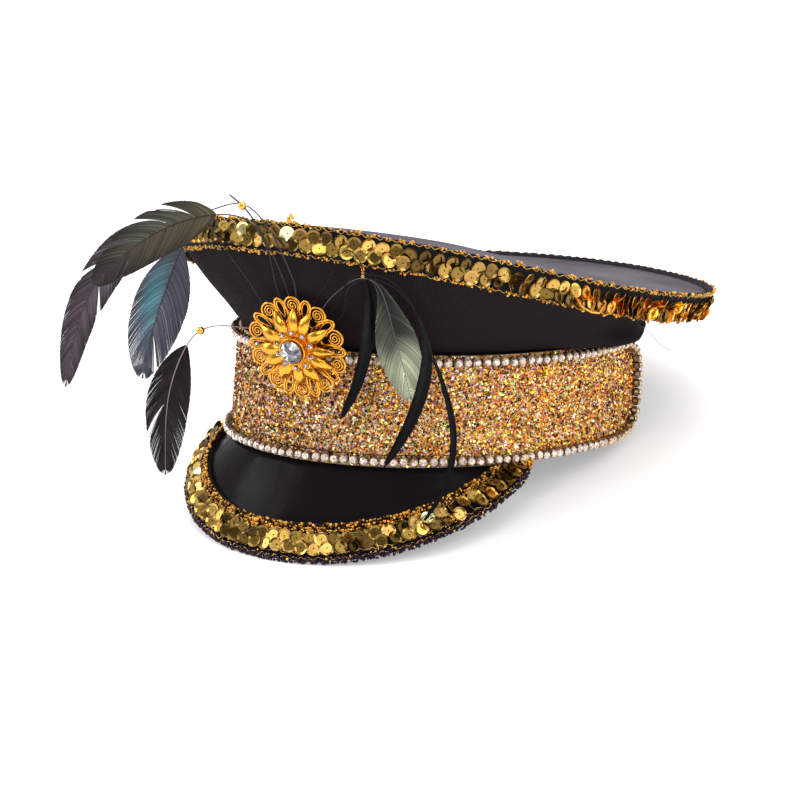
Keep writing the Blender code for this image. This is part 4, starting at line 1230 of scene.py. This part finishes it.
def loop_wires():
    """A pointed loop of two wires, one inside the other, lifted a little at its end."""
    wires = []
    for size, radius in ((1.0, WIRE_RADIUS), (0.58, FINE_WIRE_RADIUS)):
        loop = []
        reach = BROOCH_RADIUS - WIRE_RADIUS - WIRE_ROOT
        for i in range(33):
            swing = FULL_TURN * i / 32
            x = WIRE_ROOT + reach * (1 - size * 0.5 * (1 + cos(swing)) - (1 - size) * 0.22)
            y = LOOP_HALF_WIDTH * size * sin(swing) * sin(swing / 2) ** 0.8
            lift = 0.0007 * ((x - WIRE_ROOT) / reach) ** 2
            loop.append((x, y, FILIGREE_WALL / 2 + lift))
        wires.append((loop, radius))
    return wires


brooch_metal = make_finish("brooch_metal", (0.90, 0.42, 0.045), 0.22, 1.0,
                           mottle=(700, 0.15, 0.30))
dent(brooch_metal, speckle(brooch_metal, 900, 0, 1), 0.25, 0.0002)

shapes = []
for i in range(LOBES):
    for turn, wires in ((LOBE_TURN, lobe_wires()), (LOBE_TURN + pi / LOBES, loop_wires())):
        for line, radius in wires:
            shapes.append(tube(around_brooch(line, turn + i * FULL_TURN / LOBES), radius))
for i in range(2 * LOBES):
    line = [(mix(*RAY_ENDS, k / 8), 0.0009 * sin(k * 1.6), FILIGREE_WALL * 0.4) for k in range(9)]
    shapes.append(tube(around_brooch(line, (i + 0.5) * pi / LOBES), FINE_WIRE_RADIUS))
ring = [on_circle(RING_RADIUS, FULL_TURN * i / 60, FILIGREE_WALL / 2) for i in range(61)]
shapes.append(tube(ring, WIRE_RADIUS))
shapes.append(turned_shape([(0, FILIGREE_WALL), (0.0084, FILIGREE_WALL), (0.0090, 0.0002),
                            (0, 0)], 40))
add_to_brooch("brooch_wires", joined(shapes), brooch_metal, "brooch_gold", ["brooch_filigree"])


def petal_shape(draw):
    """One petal: a pointed oval with a raised ridge down its middle, arched from root to tip."""
    width = PETAL_HALF_WIDTH * draw.uniform(0.9, 1.08)
    reach = PETAL_REACH * draw.uniform(0.94, 1.0)
    lift = PETAL_LIFT * draw.uniform(0.75, 1.1)
    roll = draw.uniform(-0.18, 0.18)

    def place(across, along):
        side = 2 * across - 1
        half_width = width * sin(pi * min(along * 0.94 + 0.06, 1)) ** 0.75
        arch = lift * sin(pi * min(along * 1.05, 1)) ** 0.8
        ridge = PETAL_RIDGE * (1 - abs(side)) * sin(pi * along) ** 0.5
        y = side * half_width
        return Vector((mix(PETAL_ROOT, reach, along), y, PETAL_BASE + arch + ridge + roll * y))

    return grid(6, 14, place)


draw = random.Random(51)
shapes = []
for i in range(PETALS):
    points, faces = petal_shape(draw)
    angle = FULL_TURN * i / PETALS + draw.uniform(-0.07, 0.07)
    shapes.append((around_brooch(points, angle), faces))
petals = add_to_brooch(
    "brooch_petal_sheet", joined(shapes), brooch_metal, "brooch_gold", ["brooch_petals"])
thicken(petals, PETAL_WALL * 0.6, 0)


def star_point(across, along):
    """The fluted star: fine rays that run out from the bezel."""
    angle = across * FULL_TURN
    swing = abs((across * STONES + 0.5) % 1.0 - 0.5) * 2
    radius = mix(STAR_INNER, mix(STAR_ROOT, STAR_REACH, sqrt(1 - swing)), along)
    flute = FLUTE_DEPTH * sin(FLUTES * angle) * sin(pi * along) ** 0.5
    return on_circle(radius, angle, STAR_BASE + STAR_WALL + flute + STAR_RISE * (1 - along))


stone_centres = [ray(FULL_TURN * (i + 0.5) / STONES) * STONE_CIRCLE for i in range(STONES)]
shapes = [grid(480, 4, star_point)]
for centre in stone_centres:
    collet = [centre + ray(FULL_TURN * k / 16) * STONE_DIAMETER * 0.54
              + Vector((0, 0, SETTING_BASE + 0.0004)) for k in range(17)]
    shapes.append(tube(collet, COLLET_RADIUS))
add_to_brooch("brooch_star_sheet", joined(shapes), brooch_metal, "brooch_gold", ["brooch_star"])

outer = SETTING_DIAMETER / 2
top = SETTING_BASE + SETTING_HEIGHT
bezel = turned_shape([
    (0, SETTING_BASE + SETTING_WALL), (outer - 2 * SETTING_WALL, SETTING_BASE + SETTING_WALL),
    (outer - SETTING_WALL, top - 0.0002), (outer - SETTING_WALL / 2, top),
    (outer, top - 0.0003), (outer, SETTING_BASE), (0, SETTING_BASE)], 48)
add_to_brooch("brooch_bezel", bezel, brooch_metal, "brooch_gold", ["brooch_setting"])

# Painted reflections: the bright and dark shades that the brooch's clear facets are painted with
CLEAR_FACET_REFLECTIONS = [(0.50, 0.50, 0.54), (0.26, 0.26, 0.29), (0.11, 0.11, 0.13), (0.94, 0.94, 0.96),
                (0.36, 0.34, 0.36), (0.05, 0.05, 0.06)]
clear_crystal = make_finish("clear_crystal", (0.8, 0.8, 0.84), 0.05, 0.35, more={
    "Coat Weight": 1.0})
tinted(clear_crystal)
draw = random.Random(52)
points, faces, tints = cut_stone(
    CRYSTAL_DIAMETER / 2, CRYSTAL_BASE, CRYSTAL_HEIGHT, 14, draw, CLEAR_FACET_REFLECTIONS)
add_to_brooch("brooch_crystal_cut", (points, faces), clear_crystal, "crystal",
              ["brooch_crystal"], tint=tints, smooth=False)

stones = []
tints = []
for centre in stone_centres:
    points, faces, shades = cut_stone(
        STONE_DIAMETER / 2, SETTING_BASE, STONE_HEIGHT, STONE_FACETS, draw, CLEAR_FACET_REFLECTIONS)
    stones.append(([centre + point for point in points], faces))
    tints += shades
add_to_brooch("brooch_stones_cut", joined(stones), clear_crystal, "crystal",
              [f"brooch_stone_{i + 1:02d}" for i in range(STONES)], tint=tints, smooth=False)


# Feathers
# Dyed cock feathers whose bare quills are held behind the brooch. Each vane is made of single
# barbs that lie close together, part at the splits and fray at the edge.
QUILL_DIAMETER = 0.0008
VANE_WIDTH = 0.0230
SPRAY_REACH = 0.0500
ROOT_RADIUS = 0.0150
FACING = Vector((0.54, -0.82, 0.18)).normalized()
BEAD_DIAMETER = 0.0034
QUILL_BEAD_SHARE = 0.31
ROOT_FULLNESS = 0.95
TIP_FULLNESS = 0.55
BARB_PITCH = 0.00032
BARB_STEPS = 7
QUILL_SMOOTHINGS = 24
QUILL_STEP = 0.002
QUILL_STEPS = 90
FINE_SPLIT_PITCH = 0.006
BARB_CAMBER = 0.0012
BARB_RIPPLE = 0.00012
BARB_THICKNESS = 0.00005

# A row for each feather: where it leaves the brooch (degrees clockwise from the top), the share
# of its length where the vane begins, its width as a share of VANE_WIDTH, where it is widest,
# how frayed its edge is, where each side is split (shares of the vane), its colouring, and how
# thick its quill is as a share of QUILL_DIAMETER
Feather = namedtuple("Feather", "clock vane_start width widest fray splits colouring quill")
FEATHERS = {
    "feather_1": Feather(-18, 0.48, 0.87, 0.40, 0.03, ((0.34, 0.52, 0.72), (0.80,)), "olive", 0.75),
    "feather_2": Feather(3, 0.54, 0.70, 0.42, 0.04, ((0.50,), (0.62,)), "grey", 0.7),
    "feather_3": Feather(-42, 0.54, 1.00, 0.50, 0.03, ((), (0.93,)), "teal", 0.6),
    "feather_4": Feather(-74, 0.41, 0.78, 0.45, 0.05, ((0.70,), ()), "black_brown", 0.7),
    "feather_5": Feather(24, 0.46, 0.23, 0.50, 0.08, ((), ()), "black", 0.5),
    "feather_6": Feather(35, 0.43, 0.74, 0.60, 0.04, ((), ()), "green", 0.5),
    "feather_7": Feather(46, 0.53, 0.23, 0.50, 0.08, ((), ()), "black", 0.5),
    "feather_8": Feather(57, 0.57, 0.12, 0.50, 0.08, ((), ()), "black", 0.5),
}

# Shades of each colouring: quill, then the vane at its root, its middle and its tip, its outer
# edge, and a gleam across its middle on one side, which is painted light
Colouring = namedtuple("Colouring", "quill root middle tip edge gleam gleam_side")
COLOURINGS = {
    "olive": Colouring((0.03, 0.022, 0.02), (0.120, 0.100, 0.060), (0.105, 0.088, 0.058),
                       (0.060, 0.045, 0.042), (0.016, 0.012, 0.012), (0.095, 0.110, 0.085), 1),
    "grey": Colouring((0.06, 0.05, 0.06), (0.15, 0.12, 0.15), (0.110, 0.086, 0.105),
                      (0.130, 0.100, 0.125), (0.035, 0.026, 0.035), (0.20, 0.16, 0.20), -1),
    "teal": Colouring((0.035, 0.03, 0.04), (0.095, 0.090, 0.120), (0.140, 0.150, 0.190),
                      (0.17, 0.18, 0.235), (0.09, 0.085, 0.110), (0.14, 0.38, 0.46), 1),
    "black_brown": Colouring((0.28, 0.20, 0.22), (0.014, 0.010, 0.012), (0.018, 0.012, 0.016),
                             (0.035, 0.026, 0.030), (0.020, 0.015, 0.018), (0.03, 0.022, 0.028), 1),
    "green": Colouring((0.10, 0.10, 0.09), (0.010, 0.008, 0.009), (0.030, 0.028, 0.025),
                       (0.78, 0.84, 0.58), (0.16, 0.17, 0.13), (0.075, 0.085, 0.065), 1),
    "black": Colouring((0.008, 0.007, 0.008), (0.005, 0.004, 0.005), (0.006, 0.005, 0.006),
                       (0.005, 0.004, 0.005), (0.004, 0.003, 0.004), (0.020, 0.020, 0.022), 1),
}

# Where each quill or wire runs: angle from the front (degrees, wearer's left positive),
# height as a share of the rim's front, and stand-off from the hat as a share of SPRAY_REACH
ROUTES = {
    "feather_1": [
        (1.5, 0.887, 0.06), (-1.5, 0.993, 0.07), (-5, 1.026, 0.10), (-8.5, 1.020, 0.16),
        (-13, 1.001, 0.24), (-17.5, 0.957, 0.40), (-21.5, 0.886, 0.56), (-26, 0.790, 0.76),
        (-30.5, 0.685, 1.00)],
    "feather_2": [
        (5, 0.816, 0.07), (3.5, 0.921, 0.05), (0.5, 0.995, 0.05), (-2.5, 1.050, 0.05),
        (-5, 1.078, 0.04), (-8, 1.066, 0.04), (-14, 1.019, 0.06), (-19.5, 0.996, 0.10),
        (-26, 0.947, 0.22), (-34.5, 0.830, 0.52), (-38, 0.665, 0.90), (-39.5, 0.545, 1.18),
        (-40, 0.438, 1.36), (-40.5, 0.217, 1.40)],
    "feather_3": [
        (-7.5, 0.762, 0.04), (-9.5, 0.821, 0.06), (-12.5, 0.916, 0.05),
        (-16.5, 0.967, 0.05), (-20, 0.957, 0.08), (-22.5, 0.890, 0.10),
        (-27, 0.815, 0.13), (-29.5, 0.728, 0.27), (-31, 0.629, 0.45), (-32, 0.459, 0.78),
        (-32.5, 0.278, 0.82)],
    "feather_4": [
        (-10.5, 0.526, 0.20), (-13, 0.538, 0.28), (-14, 0.556, 0.36), (-16, 0.549, 0.44),
        (-18, 0.529, 0.52), (-21, 0.470, 0.62), (-22, 0.350, 0.72), (-21.5, 0.229, 0.78),
        (-20, 0.093, 0.80), (-19, -0.065, 0.80)],
    "feather_5": [
        (12, 0.755, 0.020), (14.5, 0.828, 0.030), (15.5, 0.903, 0.036), (17, 0.953, 0.06),
        (19, 0.929, 0.08), (21, 0.833, 0.10), (21.5, 0.714, 0.13), (21, 0.607, 0.16),
        (20, 0.497, 0.20), (19, 0.398, 0.24), (18, 0.308, 0.24), (15, 0.210, 0.20)],
    "feather_6": [
        (15.5, 0.749, 0.06), (19, 0.810, 0.12), (23, 0.828, 0.18), (25.5, 0.675, 0.24),
        (27, 0.542, 0.28), (28.5, 0.440, 0.26), (31, 0.297, 0.20)],
    "feather_7": [
        (16.5, 0.767, 0.13), (21, 0.842, 0.21), (24.5, 0.843, 0.28), (27.5, 0.812, 0.33),
        (30, 0.741, 0.38), (32, 0.640, 0.44), (33.5, 0.533, 0.48), (33.5, 0.429, 0.48),
        (33, 0.326, 0.44), (31.5, 0.223, 0.40), (29.5, 0.130, 0.36), (27, 0.042, 0.32)],
    "feather_8": [
        (17.5, 0.764, 0.20), (23, 0.832, 0.30), (27.5, 0.801, 0.40), (31.5, 0.684, 0.50),
        (34.5, 0.503, 0.54), (37, 0.394, 0.52), (39, 0.290, 0.50), (40.5, 0.188, 0.48),
        (40.6, 0.100, 0.48), (40.4, 0.001, 0.48), (38.9, -0.060, 0.48), (35.9, -0.153, 0.48)],
    "wire_bead": [
        (3, 0.768, 0.07), (3.5, 0.852, 0.10), (1, 0.963, 0.14), (-1, 1.034, 0.16),
        (-1.5, 1.052, 0.16), (-3, 1.078, 0.17), (-4.5, 1.095, 0.18), (-5.5, 1.102, 0.20)],
}


def hull_point(angle, height, stand_off):
    """A point that stands off from the hat's side: the chain, the flare or the rim."""
    taper = clamp(height, 0.0, BAND_HEIGHT)
    low = band_point(angle, taper, CHAIN_FACE + stand_off)
    rim = rim_point(angle, -stand_off, TAPE_WIDTH)
    share = clamp((height - BAND_HEIGHT) / (rim.z - BAND_HEIGHT))
    point = mix(low, rim, share)
    point.z = height
    return point


def spray_route(name, clock):
    """From behind the brooch, past its edge and through the stations."""
    aim = ray(radians(90 - clock))
    quill = QUILL_DIAMETER / 2
    points = []
    for radius, gaps in (
            (ROOT_RADIUS, 1.5), (BROOCH_RADIUS - 2 * QUILL_DIAMETER, 4),
            (BROOCH_RADIUS + 3 * QUILL_DIAMETER, 4)):
        points.append(STAND @ (aim * radius - Vector((0, 0, quill + gaps * GAP))))
    for angle, height, stand_off in ROUTES[name]:
        points.append(hull_point(
            radians(angle), height * rim_height(0), stand_off * SPRAY_REACH))
    return points


def smooth_line(points, fineness):
    """A smooth line through unevenly spaced points, with fineness short steps to a span."""
    spans = [(end - start).length for start, end in zip(points, points[1:])]
    slopes = [(end - start) / span for start, end, span in zip(points, points[1:], spans)]
    heads = [slopes[0]]
    for i in range(1, len(spans)):
        share = spans[i - 1] / (spans[i - 1] + spans[i])
        heads.append(mix(slopes[i - 1], slopes[i], share))
    heads.append(slopes[-1])
    line = []
    for i in range(len(spans)):
        for j in range(fineness):
            t = j / fineness
            line.append(
                points[i] * (2 * t ** 3 - 3 * t ** 2 + 1)
                + points[i + 1] * (3 * t ** 2 - 2 * t ** 3)
                + heads[i] * spans[i] * (t ** 3 - 2 * t ** 2 + t)
                + heads[i + 1] * spans[i] * (t ** 3 - t ** 2))
    line.append(points[-1])
    return line


class Spine:
    """A quill's line, measured, with the direction across its vane at each point."""

    def __init__(self, name, clock):
        line = np.array([tuple(p) for p in smooth_line(spray_route(name, clock), 12)])
        self.measure(line)
        reaches = np.linspace(0, self.length, round(self.length / QUILL_STEP))
        line = np.stack([np.interp(reaches, self.distances, line[:, k]) for k in range(3)], axis=1)
        for _ in range(QUILL_SMOOTHINGS):
            line[2:-1] += ((line[1:-2] + line[3:]) / 2 - line[2:-1]) / 2
        self.measure(line)

    def measure(self, line):
        self.line = line
        self.distances = distances_along(line)
        self.length = self.distances[-1]

    def at(self, share):
        """The point, the direction, and the directions across and through the vane."""
        reach = clamp(share) * self.length
        nearby = (max(reach - QUILL_STEP, 0), min(reach + QUILL_STEP, self.length))
        place = [Vector([np.interp(r, self.distances, self.line[:, k]) for k in range(3)])
                 for r in (reach, *nearby)]
        direction = (place[2] - place[1]).normalized()
        wide = direction.cross(FACING).normalized()
        return place[0], direction, wide, direction.cross(wide)


def blend(colouring, along, outward, side):
    """A barb's shade at a share along the vane and a share out to its edge."""
    shade = mix(Vector(colouring.root), Vector(colouring.middle), ease(along, 0.0, 0.45))
    shade = mix(shade, Vector(colouring.tip), ease(along, 0.45, 0.80))
    # A painted gleam of light across the vane's middle, on one side only
    gleam = exp(-((along - 0.45) / 0.22) ** 2) * sin(pi * min(outward + 0.1, 1))
    if side == colouring.gleam_side:
        shade = mix(shade, Vector(colouring.gleam), gleam)
    return mix(shade, Vector(colouring.edge), 0.6 * outward ** 2)


def vane_half_width(row, share):
    """Half the vane's width at a share along it."""
    power = log(0.5) / log(row.widest)
    share = clamp(share)
    fullness = ROOT_FULLNESS if share < row.widest else TIP_FULLNESS
    spread = sin(pi * share ** power) ** fullness
    return mix(QUILL_DIAMETER / 2, row.width * VANE_WIDTH / 2, spread)


def feather_barbs(row, spine, draw):
    """The barbs on both sides of the quill, with their shades."""
    colouring = COLOURINGS[row.colouring]
    vane_length = spine.length * (1 - row.vane_start)
    count = round(vane_length / BARB_PITCH)
    points = []
    faces = []
    shades = []
    for side in (-1, 1):
        splits = row.splits[0 if side == 1 else 1]
        fine_splits = [draw.random() for _ in range(round(vane_length / FINE_SPLIT_PITCH))]
        for i in range(count):
            root = (i + 0.5) / count
            widest_here = vane_half_width(row, min(root + 0.10, 1))
            sweep = (1.3 * widest_here / vane_length + 0.02) * mix(1.0, 1.4, root ** 2)
            tip = min(root + sweep, 1.0)
            short = row.fray * draw.random() ** 2
            shift = 0.0
            for split in splits:
                away = (tip - split) * vane_length
                short += 0.20 * exp(-abs(away - 0.0012) / 0.0022) * (away > 0)
                shift += copysign(0.0011, away) * exp(-abs(away) / 0.0030) / vane_length
            for split in fine_splits:
                away = (tip - split) * vane_length
                shift += copysign(0.00010, away) * exp(-abs(away) / 0.0012) / vane_length
            reach = vane_half_width(row, tip) * (1 - short)
            brightness = draw.uniform(0.45, 1.0) * (1.8 if draw.random() < 0.08 else 1.0)
            brightness *= 1 + 0.12 * sin(root * vane_length / 0.0018 + side)
            ripple = draw.uniform(-BARB_RIPPLE, BARB_RIPPLE)
            first = len(points)
            for step in range(BARB_STEPS + 1):
                t = step / BARB_STEPS
                along = mix(root, tip, t ** 1.25) + shift * t ** 2
                spot, direction, wide, thick = spine.at(mix(row.vane_start, 1, along))
                lateral = reach * t ** 0.9
                camber = BARB_CAMBER * (lateral / (VANE_WIDTH / 2)) ** 2
                half = BARB_PITCH * mix(0.9, 1.2, t)
                middle = spot + wide * side * lateral + thick * (camber + ripple * t)
                points.append(middle - direction * half + thick * BARB_THICKNESS)
                points.append(middle + direction * half - thick * BARB_THICKNESS)
                shade = blend(colouring, along, t, side) * brightness
                shades += [shade, shade]
            for step in range(BARB_STEPS):
                corner = first + 2 * step
                faces.append((corner, corner + 1, corner + 3, corner + 2))
    return points, faces, shades


barb_keratin = make_finish("barb_keratin", (0.05, 0.05, 0.05), 0.42, more={
    "Specular IOR Level": 0.12}, mottle=(300, 0.34, 0.55))
tinted(barb_keratin)
bead_gold = make_finish("bead_gold", (0.83, 0.50, 0.10), 0.18, 1.0, mottle=(900, 0.12, 0.3))
FINISH_SLOTS = {"olive": "olive_feather", "grey": "grey_feather", "teal": "teal_feather",
                "black_brown": "black_feather", "green": "green_feather", "black": "black_feather"}


def add_threaded_bead(name, spine, share, node_name):
    """A round gold bead threaded on a quill or a wire, at a share of its length."""
    add_copies(name, ball_shape(BEAD_DIAMETER / 2, 20, 12),
               [Matrix.Translation(spine.at(share)[0])], None, bead_gold, "brooch_gold",
               [node_name])


for order, (name, row) in enumerate(FEATHERS.items()):
    spine = Spine(name, row.clock)
    points, faces, shades = feather_barbs(row, spine, random.Random(60 + order))
    line = [spine.at(i / QUILL_STEPS)[0] for i in range(QUILL_STEPS + 1)]
    radii = [QUILL_DIAMETER / 2 * mix(row.quill, 0.25, ease(i / QUILL_STEPS, row.vane_start, 1))
             for i in range(QUILL_STEPS + 1)]
    points, faces = joined([(points, faces), tube(line, radii)])
    shades += [Vector(COLOURINGS[row.colouring].quill)] * (len(points) - len(shades))
    add_piece(f"{name}_barbs", points, faces, barb_keratin, FINISH_SLOTS[row.colouring], [name],
              tint=shades)
    if name == "feather_4":
        add_threaded_bead("quill_bead", spine, QUILL_BEAD_SHARE, name)


# Plain wire
# A blackened wire that stands up from behind the brooch. It ends in a hook just past the gold
# bead that is threaded on it.
WIRE_CLOCK = -6
WIRE_BEAD_SHARE = 0.89
WIRE_THICKNESS = 0.8
wire_black = make_finish("wire_black", (0.012, 0.011, 0.012), 0.4, 0.4, mottle=(900, 0.3, 0.5))
spine = Spine("wire_bead", WIRE_CLOCK)
points, faces = tube([spine.at(i / 60)[0] for i in range(61)],
                     QUILL_DIAMETER / 2 * WIRE_THICKNESS)
add_piece("bead_wire", points, faces, wire_black, "black_feather", ["wire_bead"])
add_threaded_bead("wire_end_bead", spine, WIRE_BEAD_SHARE, "wire_bead")


# Loose thread end
# A thin end of the rim's black sewing thread has come out of the tape at the back and hangs
# over the fold of the wall. Each point is given as (degrees, height, stand-off).
LOOSE_END = [(78.6, 0.0640, 0.0008), (79.8, 0.0599, 0.0014), (83.5, 0.0560, 0.0020),
             (88.0, 0.0500, 0.0030), (95.0, 0.0450, 0.0040)]
LOOSE_END_RADIUS = 0.00012
points, faces = tube(smooth_line([off_rim(spot) for spot in LOOSE_END], 6), LOOSE_END_RADIUS, 4)
add_piece("loose_end", points, faces, wire_black, "black_feather", ["rim_trim"])
